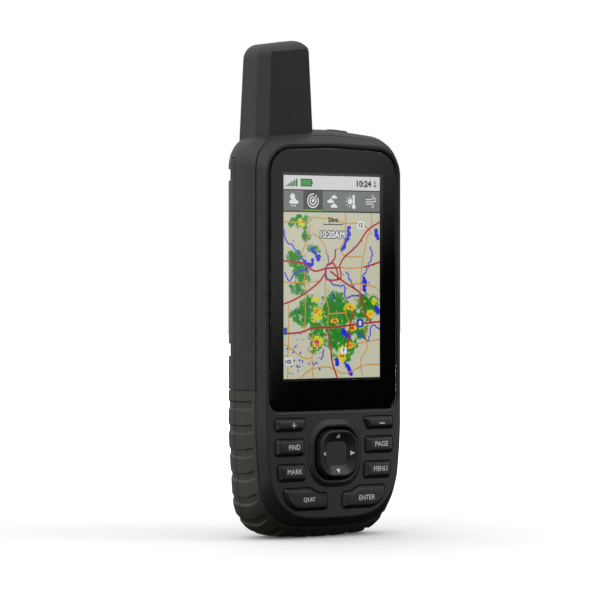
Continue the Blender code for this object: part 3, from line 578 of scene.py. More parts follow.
CASE = moulded("case_plastic", (0.021, 0.0212, 0.0215), 0.50, grain=0.28, bump=0.22)
GRIP = moulded("grip_rubber", (0.043, 0.043, 0.033), 0.62, grain=0.22, bump=0.3, edge_highlight=0.25)
KEYS = moulded("key_rubber", (0.016, 0.016, 0.0165), 0.45, grain=0.2, bump=0.12, edge_highlight=0.15)
SEAL = moulded("seal_rubber", (0.012, 0.012, 0.012), 0.7, grain=0.2, bump=0.2, edge_highlight=0.1)
CARD = moulded("card_plastic", (0.02, 0.02, 0.02), 0.4, grain=0.2, bump=0.1, edge_highlight=0.2)
CERAMIC = moulded("ceramic_white", (0.72, 0.70, 0.64), 0.55, grain=0.25, bump=0.1, edge_highlight=0.0)
LEGEND = moulded("legend_print", (0.86, 0.86, 0.85), 0.5, grain=0.15, bump=0.05, edge_highlight=0.0, mottle=0.04)
PRINT = moulded("lens_print", (0.0012, 0.0012, 0.0012), 0.5, grain=0.4, bump=0.02, edge_highlight=0.0, specular=0.0)
PLATED = metal("plated_steel", (0.66, 0.66, 0.63), 0.32, brush=(1.0, 1.0, 12.0))
STAINLESS = metal("stainless", (0.56, 0.56, 0.57), 0.28, brush=(10.0, 1.0, 1.0))
COPPER = metal("copper", (0.80, 0.42, 0.24), 0.30, grain=0.3)
BRASS = metal("brass", (0.80, 0.60, 0.26), 0.26, grain=0.3)
LENS = clear_lens("lens_glass")
BOARD = board_mask("board_green")
SLEEVE = cell_sleeve("cell_label")
BLANK_DISPLAY = moulded("display_blank", (0.004, 0.004, 0.004), 0.25, grain=0.3, bump=0.02, edge_highlight=0.0)

SLOT_PAINT = {
    "case_plastic": CASE, "grip_rubber": GRIP, "key_rubber": KEYS, "lens_glass": LENS,
    "screen": BLANK_DISPLAY, "seal_rubber": SEAL, "board_green": BOARD, "plated_steel": PLATED,
    "stainless": STAINLESS, "copper": COPPER, "ceramic_white": CERAMIC, "cell_label": SLEEVE,
    "card_plastic": CARD, "brass": BRASS,
}
SLOT_OF = {paint.name: slot for slot, paint in SLOT_PAINT.items()}
SLOT_OF.update({LEGEND.name: "key_rubber", PRINT.name: "lens_glass"})


def paint_frame():
    """Gives every carried-over node its slot's material."""
    for part in frame["record"]["subparts"]:
        mesh = NODES[part["node"]].data
        mesh.materials.clear()
        mesh.materials.append(SLOT_PAINT[part["material_slot"]])


SOFTENED = (
    "weather_cap", "latch_barrel", "latch_retaining_ring", "bail_ring", "bail_pin", "flashlight_lens",
    "flashlight_led", "battery_cell_left", "battery_cell_right", "contact_bridge", "contact_plate_left",
    "contact_plate_right", "microsd_socket", "usb_socket", "antenna_jack", "battery_seal",
)
SOFT_EDGE = 0.16


def soften_frame():
    """Breaks the sharp edges of the carried-over pieces that show from outside or under the cover."""
    for name in SOFTENED:
        bevel = NODES[name].modifiers.new("soft_edges", "BEVEL")
        bevel.width = SOFT_EDGE * MM
        bevel.segments = 2
        bevel.limit_method = "ANGLE"
        bevel.angle_limit = math.radians(40)


# ---------------------------------------------------------------- front case and keys

CHAMFER_SLOPE = (SECTIONS[1].half_width - SECTIONS[0].half_width) / PARTING
FACE_EDGE = 0.75
SEAM_ROUND = 0.22
FRONT_PLATE = 2.2
WELL_DEPTH = 4.0

KEY_RISE = 1.15
KEY_FACET = 0.85
KEY_CROWN = 0.16
KEY_GAP = 0.2
RIM_ROUND = 0.2


def mirrored(corners):
    return tuple((-x, z, radius) for x, z, radius in reversed(corners))


ZOOM_KEY = ((-24.3, -50.1, 0.8), (-13.5, -50.1, 0.8), (-11.8, -46.1, 0.8), (-24.3, -46.1, 0.8))
UPPER_KEY = ((-24.1, -58.1, 0.8), (-12.8, -58.1, 0.8), (-12.8, -52.8, 0.8), (-24.1, -52.8, 0.8))
LOWER_KEY = ((-22.8, -66.4, 0.8), (-12.1, -66.4, 0.8), (-12.4, -61.0, 0.8), (-23.4, -61.0, 0.8))
FOOT_KEY = (
    (-20.8, -76.0, 6.2),
    (-3.2, -76.0, 0.8),
    (-3.2, -70.6, 1.2),
    (-6.5, -70.6, 2.0),
    (-10.2, -68.8, 2.0),
    (-20.8, -68.8, 0.8),
)
KEY_SHAPES = {
    "key_zoom_in": ZOOM_KEY,
    "key_zoom_out": mirrored(ZOOM_KEY),
    "key_find": UPPER_KEY,
    "key_page": mirrored(UPPER_KEY),
    "key_mark": LOWER_KEY,
    "key_menu": mirrored(LOWER_KEY),
    "key_quit": FOOT_KEY,
    "key_enter": mirrored(FOOT_KEY),
}
Legend = namedtuple("Legend", "text x z width height")
KEY_LEGENDS = {
    "key_zoom_in": Legend("+", -17.6, -48.2, 1.9, 1.7),
    "key_zoom_out": Legend("\u2013", 18.9, -48.4, 2.1, 0.42),
    "key_find": Legend("FIND", -17.4, -55.3, 4.6, 1.65),
    "key_page": Legend("PAGE", 18.7, -55.2, 5.4, 1.65),
    "key_mark": Legend("MARK", -17.2, -63.3, 6.0, 1.65),
    "key_menu": Legend("MENU", 18.2, -63.4, 5.6, 1.65),
    "key_quit": Legend("QUIT", -11.3, -72.6, 4.8, 1.65),
    "key_enter": Legend("ENTER", 12.5, -72.7, 6.6, 1.65),
}


def rocker_corners(half):
    """A square with wide round corners, centred on the rocker."""
    return rectangle(half, ROCKER_Z - half, ROCKER_Z + half, 5.6 + (half - ROCKER_PAD_HALF) * 0.6)


def lens_corners():
    """The lens: an arched top with wide corners and a straight foot with small ones."""
    half = LENS_HALF_WIDTH
    return (
        (0, LENS_TOP + 0.05, ARCH_RADIUS),
        (half, LENS_TOP - 1.0, 8.0),
        (half, LENS_BOTTOM, 4.0),
        (-half, LENS_BOTTOM, 4.0),
        (-half, LENS_TOP - 1.0, 8.0),
    )


def front_shell():
    """The front case's outer form: flat face, rounded edge, flared band, rounded parting edge."""
    turn = 90.0 - math.degrees(math.atan(CHAMFER_SLOPE))
    start = FACE_EDGE * math.tan(math.radians(turn / 2))
    rings = []
    for run, drop in round_over(FACE_EDGE, turn, steps=8):
        rings.append((drop, CHAMFER_SLOPE * drop + start - run))
    back = PARTING - HALF_GAP
    rings += [(1.9, 0.0), (back - SEAM_ROUND, 0.0), (back - SEAM_ROUND * 0.3, SEAM_ROUND * 0.3)]
    rings.append((back, SEAM_ROUND))
    return loft([[(x, d, z) for x, z in case_outline(d, inset)] for d, inset in rings])


def rocker_lip():
    """A soft raised ring round the rocker's well."""
    profile = ((1.0, 2.6), (0.06, 2.6), (-0.03, 2.25), (-0.16, 1.95), (-0.40, 1.62), (-0.66, 1.30),
               (-0.87, 1.00), (-0.98, 0.72), (-1.0, 0.48), (-0.93, 0.25), (-0.78, 0.08), (-0.7, -0.5))
    return stack(rocker_corners(ROCKER_WELL_HALF), profile, steps=14)


def opening(corners, gap):
    """A cutter for a key's opening, its rim rounded over."""
    levels = [(WELL_DEPTH, gap)]
    for run, drop in round_over(RIM_ROUND, 90.0, 5):
        levels.append((RIM_ROUND - run, gap + drop))
    levels.append((-2.0, gap + RIM_ROUND))
    return stack(corners, levels, steps=6)


def front_case():
    """The front half: a thin shell with the rocker's well, the lens pocket, a window and key openings."""
    shell = front_shell()
    inner = [(FRONT_PLATE, 2.2), (PARTING, 2.2), (PARTING + 1, 2.2)]
    cut(shell, loft([[(x, d, z) for x, z in case_outline(d, inset)] for d, inset in inner]))
    join(shell, rocker_lip())
    well = stack(rocker_corners(ROCKER_WELL_HALF), ((-3.0, 0.0), (WELL_DEPTH, 0.0)), steps=14)
    fillet = ((-1.0, 1.0), (0.0, 1.0), (0.05, 0.78), (0.16, 0.56), (0.32, 0.38), (0.55, 0.25))
    pocket = stack(lens_corners(), (*fillet, (LENS_POCKET, 0.25)), steps=14)
    window = prism(rounded(rectangle(22.2, -35.8, 35.8, 1.5), 4), 0.5, WELL_DEPTH)
    cut(shell, well, pocket, window)
    for shape in KEY_SHAPES.values():
        cut(shell, opening(shape, KEY_GAP))
    return dress(shell, "front_case_shell", "case", CASE, ("front_case",))


def key_face(corners, z):
    """Depth of a key's crowned face at a height."""
    zs = [corner[1] for corner in corners]
    middle, half = (min(zs) + max(zs)) / 2, (max(zs) - min(zs)) / 2 - KEY_FACET
    share = min(abs(z - middle) / half, 1.0)
    return -KEY_RISE - KEY_CROWN * (1.0 - share**2)


def key_cap(name, corners):
    """A key cap: steep flank, sloping facets on every side and a slightly crowned face."""
    rings = []
    flank = ((2.6, 0.5), (2.25, 0.5), (2.25, 0.0), (0.6, 0.0), (0.0, -0.02), (-0.14, -0.07))
    facet = ((-0.22, -0.14), (-KEY_RISE + 0.14, 0.14 - KEY_FACET), (-KEY_RISE + 0.04, -KEY_FACET))
    for d, margin in flank + facet:
        rings.append([(x, d, z) for x, z in rounded(offset(corners, margin), 6)])
    for margin in (1.0, 1.2, 1.45, 1.7, 1.95):
        outline = rounded(offset(corners, -margin), 6)
        rings.append([(x, key_face(corners, z), z) for x, z in outline])
    return dress(loft(rings), name + "_cap", name, KEYS, (name,))


def lettering(text, width, height_mm):
    """Flat text from the built-in face that fills a box centred on the origin, as (vertices, faces)."""
    curve = bpy.data.curves.new("lettering", "FONT")
    curve.body = text
    curve.resolution_u = 3
    carrier = link_object("lettering", curve)
    graph = bpy.context.evaluated_depsgraph_get()
    mesh = bpy.data.meshes.new_from_object(carrier.evaluated_get(graph))
    points = [vert.co.copy() for vert in mesh.vertices]
    faces = [tuple(face.vertices) for face in mesh.polygons]
    bpy.data.objects.remove(carrier)
    bpy.data.curves.remove(curve)
    bpy.data.meshes.remove(mesh)
    low = Vector((min(p.x for p in points), min(p.y for p in points)))
    high = Vector((max(p.x for p in points), max(p.y for p in points)))
    middle = (low + high) / 2
    stretch = Vector((width / (high.x - low.x), height_mm / (high.y - low.y)))
    return [((p.x - middle.x) * stretch.x, (p.y - middle.y) * stretch.y) for p in points], faces


def plate(faces, front, back):
    """A thin closed plate between two lists of points that share one list of faces."""
    bm = bmesh.new()
    near = [bm.verts.new(point) for point in front]
    far = [bm.verts.new(point) for point in back]
    edges = {}
    for face in faces:
        bm.faces.new([near[i] for i in face])
        bm.faces.new([far[i] for i in reversed(face)])
        for a, b in zip(face, face[1:] + face[:1]):
            edges[(a, b)] = edges.get((a, b), 0) + 1
    for a, b in edges:
        if (b, a) not in edges:
            bm.faces.new((near[b], near[a], far[a], far[b]))
    return to_object(bm)


def key_legend(name, corners):
    """A key's legend, printed on its crowned face."""
    legend = KEY_LEGENDS[name]
    flat, faces = lettering(legend.text, legend.width, legend.height)
    points = [(x + legend.x, z + legend.z) for x, z in flat]
    front = [(x, key_face(corners, z) - 0.05, z) for x, z in points]
    back = [(x, key_face(corners, z) + 0.10, z) for x, z in points]
    dress(plate(faces, front, back), name + "_legend", name, LEGEND)


# ---------------------------------------------------------------- rocker

RIM_MARGIN = 1.0
FLAT_MARGIN = 3.85
DISH_DEPTH = 1.55


def rocker():
    """The rocker pad: an upright wall, a rounded rim and four bevels down to a flat square."""
    rim = ROCKER_RIM
    levels = [(2.0, -0.3), (1.6, 0.0), (0.4, 0.0), (rim + 1.0, -0.12), (rim + 0.45, -0.22)]
    levels += [(rim + 0.18, -0.32), (rim + 0.04, -0.5), (rim, -0.7), (rim + 0.02, -0.86)]
    floor = rim + DISH_DEPTH
    levels += [(rim + 0.09, -RIM_MARGIN), (floor - 0.08, -FLAT_MARGIN + 0.14)]
    levels += [(floor - 0.02, -FLAT_MARGIN), (floor, -FLAT_MARGIN - 0.2)]
    pad = stack(rocker_corners(ROCKER_PAD_HALF), levels, steps=14)
    dress(pad, "rocker_pad_top", "rocker", KEYS, ("rocker_pad",), smooth_angle=50.0)
    for number in range(4):
        rocker_mark(number)


def rocker_mark(number):
    """A small white triangle printed on one bevel, pointing outwards."""
    inner, outer = ROCKER_PAD_HALF - FLAT_MARGIN + 1.15, ROCKER_PAD_HALF - RIM_MARGIN - 0.3
    floor = ROCKER_RIM + DISH_DEPTH

    def on_bevel(along, side, lift):
        share = (along - (ROCKER_PAD_HALF - FLAT_MARGIN)) / (FLAT_MARGIN - RIM_MARGIN)
        d = floor + (ROCKER_RIM - floor) * share - lift
        turn = math.radians(90 * number)
        x = along * math.cos(turn) - side * math.sin(turn)
        z = along * math.sin(turn) + side * math.cos(turn)
        return x, d, z + ROCKER_Z

    shape = ((inner, -0.75), (outer, 0.0), (inner, 0.75))
    front = [on_bevel(along, side, 0.07) for along, side in shape]
    back = [on_bevel(along, side, -0.15) for along, side in shape]
    dress(plate([(0, 1, 2)], front, back), f"rocker_mark_{number + 1}", "rocker", LEGEND)


# ---------------------------------------------------------------- lens


def lens():
    """The clear lens with a rounded front edge, and the black border printed on its back."""
    corners = lens_corners()
    front = LENS_RECESS
    edge = [(LENS_BACK, 0.0), (front + 0.32, 0.0), (front + 0.2, -0.03), (front + 0.08, -0.12)]
    edge += [(front + 0.02, -0.26), (front, -0.45)]
    glass = stack(corners, edge, steps=14)
    dress(glass, "display_lens_glass", "case", LENS, ("display_lens",))
    back = LENS_BACK - 0.04
    layer = prism(rounded(offset(corners, -0.12), 14), back, back + 0.03)
    half_x, half_z = WINDOW_HALF
    cut(layer, prism(rounded(rectangle(half_x, -half_z, half_z, 0.6), 4), 0.0, 3.0))
    dress(layer, "display_lens_print", "case", PRINT)


# ---------------------------------------------------------------- the picture on the display
# A page of an invented weather map: status bar, five tabs and a map with roads, water and rain.
# Flat shapes are given in millimetres right of and below the display's top left corner.

PAGE_WIDTH, PAGE_HEIGHT = 2 * SCREEN_HALF[0], 2 * SCREEN_HALF[1]
STATUS_FOOT = 4.55
TABS_HEAD, TABS_FOOT = 4.95, 11.5
MAP_HEAD = 12.0
PAGE_FRONT = depth("lcd_panel")[0] - 0.03
LAYER = 0.012


def srgb(red, green, blue):
    """Linear colour from the 0 to 255 values a designer would give."""
    return tuple(
        (c / 255 / 12.92) if c < 10.3 else ((c / 255 + 0.055) / 1.055) ** 2.4 for c in (red, green, blue)
    )


def on_page(right, down, layer):
    return right - SCREEN_HALF[0], PAGE_FRONT - layer * LAYER, SCREEN_HALF[1] - down


def clipped(right, down):
    """Keeps a map point inside the map's frame."""
    return min(max(right, 0.0), PAGE_WIDTH), min(max(down, MAP_HEAD), PAGE_HEIGHT)


def picture(name, shapes, layer, paint, clip=False):
    """One thin printed layer from (points, faces) shapes."""
    points, faces = [], []
    for shape_points, shape_faces in shapes:
        base = len(points)
        points += [clipped(*p) if clip else p for p in shape_points]
        faces += [tuple(i + base for i in face) for face in shape_faces]
    front = [on_page(right, down, layer) for right, down in points]
    back = [(x, d + LAYER * 0.5, z) for x, d, z in front]
    made = dress(plate(faces, front, back), name, "case", paint)
    return made


def area(x0, y0, x1, y1):
    return [(x0, y0), (x1, y0), (x1, y1), (x0, y1)], [(0, 1, 2, 3)]


def disc(x, y, radius, sides=20, squash=1.0):
    turns = [2 * math.pi * k / sides for k in range(sides)]
    rim = [(x + radius * math.cos(t), y + radius * squash * math.sin(t)) for t in turns]
    return rim, [tuple(range(sides))]


def ribbon(path, width):
    """A line of even width along a path."""
    points, faces = [], []
    for i, point in enumerate(path):
        a, b = Vector(path[max(i - 1, 0)]), Vector(path[min(i + 1, len(path) - 1)])
        along = (b - a).normalized()
        side = Vector((-along.y, along.x)) * width / 2
        points += [tuple(Vector(point) + side), tuple(Vector(point) - side)]
        if i:
            faces.append((2 * i - 2, 2 * i - 1, 2 * i + 1, 2 * i))
    return points, faces


def arc(x, y, radius, start, end, width, steps=14):
    turns = [math.radians(start + (end - start) * k / steps) for k in range(steps + 1)]
    return ribbon([(x + radius * math.cos(t), y + radius * math.sin(t)) for t in turns], width)


def smooth_path(points, steps=6):
    """A Catmull-Rom curve through a few points."""
    knots = [Vector(p) for p in points]
    knots = [knots[0] * 2 - knots[1], *knots, knots[-1] * 2 - knots[-2]]
    path = []
    for a, b, c, d in zip(knots, knots[1:], knots[2:], knots[3:]):
        for k in range(steps):
            t = k / steps
            path.append(
                ((2 * b) + (c - a) * t + (2 * a - 5 * b + 4 * c - d) * t**2
                 + (3 * b - a - 3 * c + d) * t**3) / 2
            )
    path.append(knots[-2])
    return path


def wandering(points, sway, rng, steps=7):
    """A path that strays from its curve by up to sway, as a river or a back road does."""
    path = smooth_path(points, steps)
    return [p + Vector((rng.uniform(-sway, sway), rng.uniform(-sway, sway))) for p in path]


def printed(text, x, y, width, size, spread=0.0):
    """Text centred on a page point. A spread lays copies round it, which thickens its strokes."""
    flat, faces = lettering(text, width, size)
    shifts = [(0.0, 0.0)]
    if spread:
        turns = [math.radians(45 * k) for k in range(8)]
        shifts = [(spread * math.cos(turn), spread * math.sin(turn)) for turn in turns]
    return [([(x + px + right, y - py + down) for px, py in flat], faces) for right, down in shifts]


MAJOR_ROADS = (
    ((0, 27.9), (7.5, 28.6), (12.5, 31.2), (17.2, 30.4), (22.8, 30.0)),
    ((22.8, 29.6), (25.0, 26.6), (30.2, 22.8), (34.8, 17.6), (PAGE_WIDTH, 14.9)),
    ((33.0, 29.9), (36.2, 29.2), (PAGE_WIDTH, 28.2)),
    ((19.0, 31.2), (25.5, 35.2), (31.8, 38.8), (33.2, 44.6), (36.4, 48.3)),
    ((17.2, 31.6), (14.4, 34.8), (8.8, 38.4), (3.6, 40.8), (0, 41.9)),
    ((0, 51.6), (6.8, 51.2), (12.2, 49.8), (20.2, 49.7), (28.5, 48.9), (PAGE_WIDTH, 48.0)),
    ((17.8, 49.8), (19.2, 56.0), (20.0, 61.5), (22.0, PAGE_HEIGHT)),
    ((29.2, 43.8), (27.4, 48.8), (26.6, 54.6), (24.4, 59.5)),
    ((21.2, 24.0), (20.9, 27.0), (18.6, 29.2)),
    ((17.0, 29.8), (17.3, 33.6), (20.2, 34.2), (23.4, 33.4), (23.0, 29.8)),
    ((17.4, 29.4), (20.4, 28.8), (22.2, 32.2), (21.8, 34.3)),
)
MINOR_ROADS = (
    ((0, 15.2), (9.8, 15.6), (10.4, 18.4), (9.0, 22.2), (6.8, 26.2)),
    ((9.9, 15.4), (10.6, 13.6), (19.0, 14.2), (25.4, 15.5), (31.0, 15.4), (35.0, 17.2)),
    ((25.5, MAP_HEAD), (25.3, 17.5), (24.4, 22.6), (21.4, 24.4)),
    ((36.3, MAP_HEAD), (36.2, 16.5), (34.4, 20.6), (32.4, 28.8), (31.6, 38.2), (30.2, 43.0)),
    ((12.0, 18.6), (16.4, 22.4), (18.4, 28.4)),
    ((22.8, 30.0), (27.2, 30.3), (33.0, 29.9)),
    ((23.5, 25.6), (28.0, 26.6), (32.4, 26.2)),
    ((17.0, 33.8), (17.1, 39.6), (18.3, 43.4), (18.0, 49.6)),
    ((0, 34.8), (8.6, 35.0), (14.0, 34.4)),
    ((8.4, 31.0), (8.9, 40.2), (8.6, 50.8)),
    ((2.0, 42.0), (1.9, 52.4), (1.6, PAGE_HEIGHT)),
    ((25.4, 39.0), (25.8, 45.6), (27.2, 48.8)),
    ((18.4, 45.2), (25.6, 45.0)),
    ((26.4, 35.8), (32.0, 35.4), (38.0, 36.6), (PAGE_WIDTH, 38.0)),
    ((0, 54.8), (4.4, 57.4), (8.4, 59.6), (11.8, 59.5)),
    ((11.9, 51.4), (11.6, 60.2), (12.0, PAGE_HEIGHT)),
    ((6.6, PAGE_HEIGHT), (11.0, 63.4), (18.6, 62.8), (25.0, 64.9), (33.0, 62.4), (PAGE_WIDTH, 62.2)),
    ((26.9, 55.6), (33.6, 54.6), (PAGE_WIDTH, 53.9)),
    ((33.2, 49.6), (34.4, 56.4), (31.8, 60.4), (32.4, 66.0)),
)
RIVERS = (
    ((0, 17.8), (1.4, 21.6), (5.2, 24.4), (8.2, 28.0), (10.2, 31.8)),
    ((0, 31.6), (2.4, 34.0), (5.8, 31.4), (9.6, 30.4)),
    ((17.4, 24.2), (18.2, 27.8), (17.6, 32.4), (20.6, 35.8), (25.2, 36.4), (25.4, 39.8), (32.8, 38.8)),
    ((35.8, 23.2), (36.6, 25.6), (35.2, 29.0), (32.4, 34.6), (34.6, 38.8)),
    ((25.6, 31.0), (27.6, 34.4), (29.4, 37.4)),
    ((PAGE_WIDTH, 50.4), (36.8, 49.2), (34.8, 53.8), (30.6, 51.6)),
    ((15.4, 60.4), (16.6, 57.2)),
)
LAKES = (
    ((26.6, 16.6), (26.8, 19.2), (25.2, 22.0), (24.2, 24.8)),
    ((11.6, 24.0), (13.2, 25.4), (14.6, 27.2)),
    ((8.4, 28.2), (10.6, 29.2), (12.0, 28.0)),
    ((33.0, 33.2), (33.6, 35.8), (33.2, 37.6)),
    ((24.2, 50.6), (25.4, 51.8), (26.4, 52.6)),
    ((21.6, 60.0), (21.9, 62.2)),
    ((25.6, 61.8), (27.0, 63.8), (27.8, 65.0)),
    ((38.2, 18.4), (39.0, 20.2)),
    ((38.4, 43.4), (39.4, 45.2)),
)
RAIN = (
    (20.5, 45.5, 15.5, 8.5), (10.5, 44.5, 9.5, 6.0), (34.0, 43.5, 7.5, 5.5), (23.0, 54.5, 10.0, 8.5),
    (13.5, 53.5, 7.0, 5.5), (6.6, 15.6, 5.6, 3.2), (6.5, 34.0, 5.0, 8.0), (31.5, 51.5, 5.5, 4.0),
    (14.5, 49.5, 7.0, 4.5), (9.2, 20.0, 2.2, 2.4), (12.2, 23.6, 3.6, 2.6), (4.2, 27.4, 4.0, 3.6),
)
STORMS = (
    (14.0, 54.2, 4.2, 3.0), (23.4, 59.0, 2.4, 4.2), (13.6, 45.6, 4.0, 4.0), (27.5, 43.2, 3.0, 1.7),
    (35.8, 45.6, 2.8, 2.0), (6.9, 15.8, 2.0, 2.2), (27.5, 50.0, 3.6, 1.6), (8.6, 34.8, 1.4, 1.3),
    (13.4, 40.6, 2.6, 1.8), (37.2, 41.4, 1.7, 1.5), (27.2, 55.7, 2.8, 1.2), (21.0, 47.6, 2.0, 1.2),
)


LAND_TONE = (186, 185, 163)
RAIN_TONES = ((0.42, (150, 152, 134)), (0.50, (40, 140, 36)), (0.80, (22, 116, 22)))
STORM_TONES = ((0.56, (200, 196, 22)), (0.94, (216, 160, 26)), (1.12, (200, 60, 26)))


def patches(tree, place, spots):
    """1 in the middle of each soft round spot on the page, falling to 0 outside them all."""
    split = node(tree, "SeparateXYZ", ((0, place),))
    total = None
    for right, down, wide, tall in spots:
        middle = world(*on_page(right, down, 0))
        x = maths(tree, "DIVIDE", maths(tree, "SUBTRACT", split.outputs["X"], middle.x), wide * MM)
        z = maths(tree, "DIVIDE", maths(tree, "SUBTRACT", split.outputs["Z"], middle.z), tall * MM)
        offset_of = node(tree, "CombineXYZ", (("X", x), ("Y", z)))
        reach = node(tree, "VectorMath", ((0, offset_of.outputs[0]),), operation="LENGTH").outputs["Value"]
        patch = ramp(tree, reach, 1.25, 0.1)
        total = patch if total is None else maths(tree, "MAXIMUM", total, patch)
    return total


def weather_map(name):
    """The map's ground with its rain, in coarse cells as a radar picture has."""
    made, tree, shader, place = new_material(name)
    cell = PIXEL * 2 * MM
    cells = node(tree, "VectorMath", ((0, place), (1, (cell, cell, cell))), operation="SNAP").outputs[0]
    ragged = noise(tree, cells, 3.0, detail=6.0, roughness=0.7)
    ragged = maths(tree, "SUBTRACT", ragged, 0.5)
    rain = patches(tree, cells, RAIN)
    fall = maths(tree, "MULTIPLY_ADD", ragged, ramp(tree, rain, 0.0, 0.3, 0.0, 4.4), rain)
    core = maths(tree, "MULTIPLY_ADD", ragged, 3.4, patches(tree, cells, STORMS))
    colour = opaque(srgb(*LAND_TONE))
    for value, tones in ((fall, RAIN_TONES), (core, STORM_TONES)):
        for limit, tone in tones:
            share = maths(tree, "GREATER_THAN", value, limit)
            colour = blend_colours(tree, share, colour, opaque(srgb(*tone)))
    dim = blend_colours(tree, pixel_grid(tree, place), opaque(scaled(WHITE[:3], PIXEL_GAP)), WHITE)
    product = node(tree, "VectorMath", ((0, colour), (1, dim)), operation="MULTIPLY").outputs[0]
    feed(tree, shader, (
        ("Base Color", UNLIT), ("Emission Color", product), ("Emission Strength", PICTURE_GLOW),
    ))
    return made


def picture_paints():
    """The picture's lit materials by name."""
    tones = {
        "status": (200, 200, 199), "tabs": (104, 108, 103), "tab_chosen": (52, 53, 53), "ink": (38, 40, 42),
        "black": (12, 12, 14), "white": (214, 216, 214), "green": (10, 96, 24), "lime": (104, 166, 40),
        "pale_green": (46, 156, 58), "major": (164, 22, 42), "minor": (190, 136, 26), "water": (38, 38, 196),
        "badge_blue": (44, 58, 148), "arrow": (30, 112, 138), "arrow_dark": (16, 66, 92),
    }
    return {name: lit("picture_" + name, srgb(*tone)) for name, tone in tones.items()}


def status_bar(paints):
    """Signal bars, battery and clock."""
    picture("screen_status_bar", [area(0, 0, PAGE_WIDTH, STATUS_FOOT)], 1, paints["status"])
    bars = [area(0.85 + 1.0 * k, 3.6 - 0.5 * (k + 0.8), 1.6 + 1.0 * k, 3.6) for k in range(5)]
    picture("screen_signal_bars", bars, 2, paints["green"])
    outline = [area(6.9, 1.1, 11.5, 3.6), area(11.5, 1.8, 11.85, 2.9)]
    picture("screen_battery_outline", outline, 2, paints["black"])
    cells = [area(7.2 + 1.03 * k, 1.42, 8.0 + 1.03 * k, 3.28) for k in range(4)]
    picture("screen_battery_cells", cells, 3, paints["pale_green"])
    clock = [*printed("10:24", 33.2, 2.35, 5.9, 1.95, 0.13), *printed("A", 37.75, 1.85, 0.8, 0.95, 0.06),
             *printed("M", 37.75, 3.05, 0.9, 0.8, 0.06)]
    picture("screen_clock", clock, 2, paints["ink"])


def cloud(x, y, size):
    """A flat-bottomed cloud of three bumps."""
    bumps = ((-0.9, 0.15, 0.45), (0.05, -0.1, 0.7), (1.0, 0.2, 0.42))
    shapes = [disc(x + right * size, y + down * size, radius * size) for right, down, radius in bumps]
    return [*shapes, area(x - 0.9 * size, y, x + size, y + 0.6 * size)]


def rain_icon(x, y):
    drops = [disc(x + 0.8 * k, y + 1.7, 0.25) for k in (-1, 0, 1)]
    return [disc(x - 0.4, y - 1.3, 1.0), *cloud(x + 0.1, y + 0.25, 1.35), *drops]


def radar_icon(x, y):
    rings = [arc(x, y, radius, -30, 280, 0.42) for radius in (1.25, 2.2)]
    return [*rings, ribbon([(x, y), (x + 1.5, y - 1.9)], 0.4), disc(x, y, 0.55)]


def cloud_icon(x, y):
    return [*cloud(x + 0.8, y - 1.4, 0.85), *cloud(x - 0.7, y, 1.0), *cloud(x + 0.7, y + 1.55, 1.0)]


def heat_icon(x, y):
    """A sun with seven rays, and a thermometer."""
    shapes = [disc(x - 0.5, y, 0.95)]
    for k in range(7):
        turn = math.radians(60 + 40 * k)
        ray = [(x - 0.5 + r * math.cos(turn), y + r * math.sin(turn)) for r in (1.25, 1.95)]
        shapes.append(ribbon(ray, 0.26))
    stem = ribbon([(x + 1.0, y - 2.2), (x + 1.0, y + 1.4)], 0.8)
    return [*shapes, stem, disc(x + 1.0, y + 1.7, 0.75)]


def wind_icon(x, y):
    """Three gusts, each curling at its end."""
    shapes = []
    for row, length, bend in ((-1, 2.6, -1), (0, 3.6, -1), (1, 2.6, 1)):
        level, end = y + 0.75 * row, x - 1.9 + length
        shapes.append(ribbon([(x - 1.9, level), (end, level)], 0.28))
        shapes.append(arc(end, level + 0.6 * bend, 0.6, -90 * bend, 100 * bend, 0.28, 8))
    return shapes


def tab_icons():
    middle = (TABS_HEAD + TABS_FOOT) / 2
    shapes = []
    for k, icon in enumerate((rain_icon, radar_icon, cloud_icon, heat_icon, wind_icon)):
        shapes += icon(PAGE_WIDTH * (k + 0.5) / 5, middle)
    return shapes


def tab_bar(paints):
    """Five tabs, the second one chosen."""
    picture("screen_bar_shadow", [area(0, STATUS_FOOT, PAGE_WIDTH, MAP_HEAD)], 1, paints["ink"])
    picture("screen_tabs", [area(0, TABS_HEAD, PAGE_WIDTH, TABS_FOOT)], 2, paints["tabs"])
    fifth = PAGE_WIDTH / 5
    chosen = [area(fifth, TABS_HEAD, 2 * fifth, TABS_FOOT)]
    picture("screen_tab_chosen", chosen, 3, paints["tab_chosen"])
    picture("screen_tab_line", [area(fifth, TABS_FOOT - 0.35, 2 * fifth, TABS_FOOT)], 4, paints["lime"])
    picture("screen_tab_icons", tab_icons(), 4, paints["white"])


def badge(x, y, wide, tall):
    """A road number's shield, a little rounder at its foot."""
    half_x, half_y = wide / 2, tall / 2
    corners = ((x - half_x, y - half_y, 0.5), (x + half_x, y - half_y, 0.5),
               (x + half_x, y + half_y, 0.7), (x - half_x, y + half_y, 0.7))
    outline = rounded(corners, 4)
    return outline, [tuple(range(len(outline)))]


def water(rng):
    """Rivers, lakes of overlapping spots, many ponds in the lower left and a few everywhere."""
    shapes = [ribbon(wandering(path, 0.36, rng), 0.5) for path in RIVERS]
    for path in LAKES:
        for point in wandering(path, 0.45, rng, steps=5):
            shapes.append(disc(point.x, point.y, rng.uniform(0.45, 0.95), 7, rng.uniform(0.7, 1.3)))
    for ponds, right, down, radius in (
        (46, (0.5, 15.0), (51.0, 65.0), (0.22, 0.42)),
        (40, (0.5, 39.0), (13.0, 65.0), (0.15, 0.35)),
    ):
        for _ in range(ponds):
            shapes.append(disc(rng.uniform(*right), rng.uniform(*down), rng.uniform(*radius), 6))
    return shapes


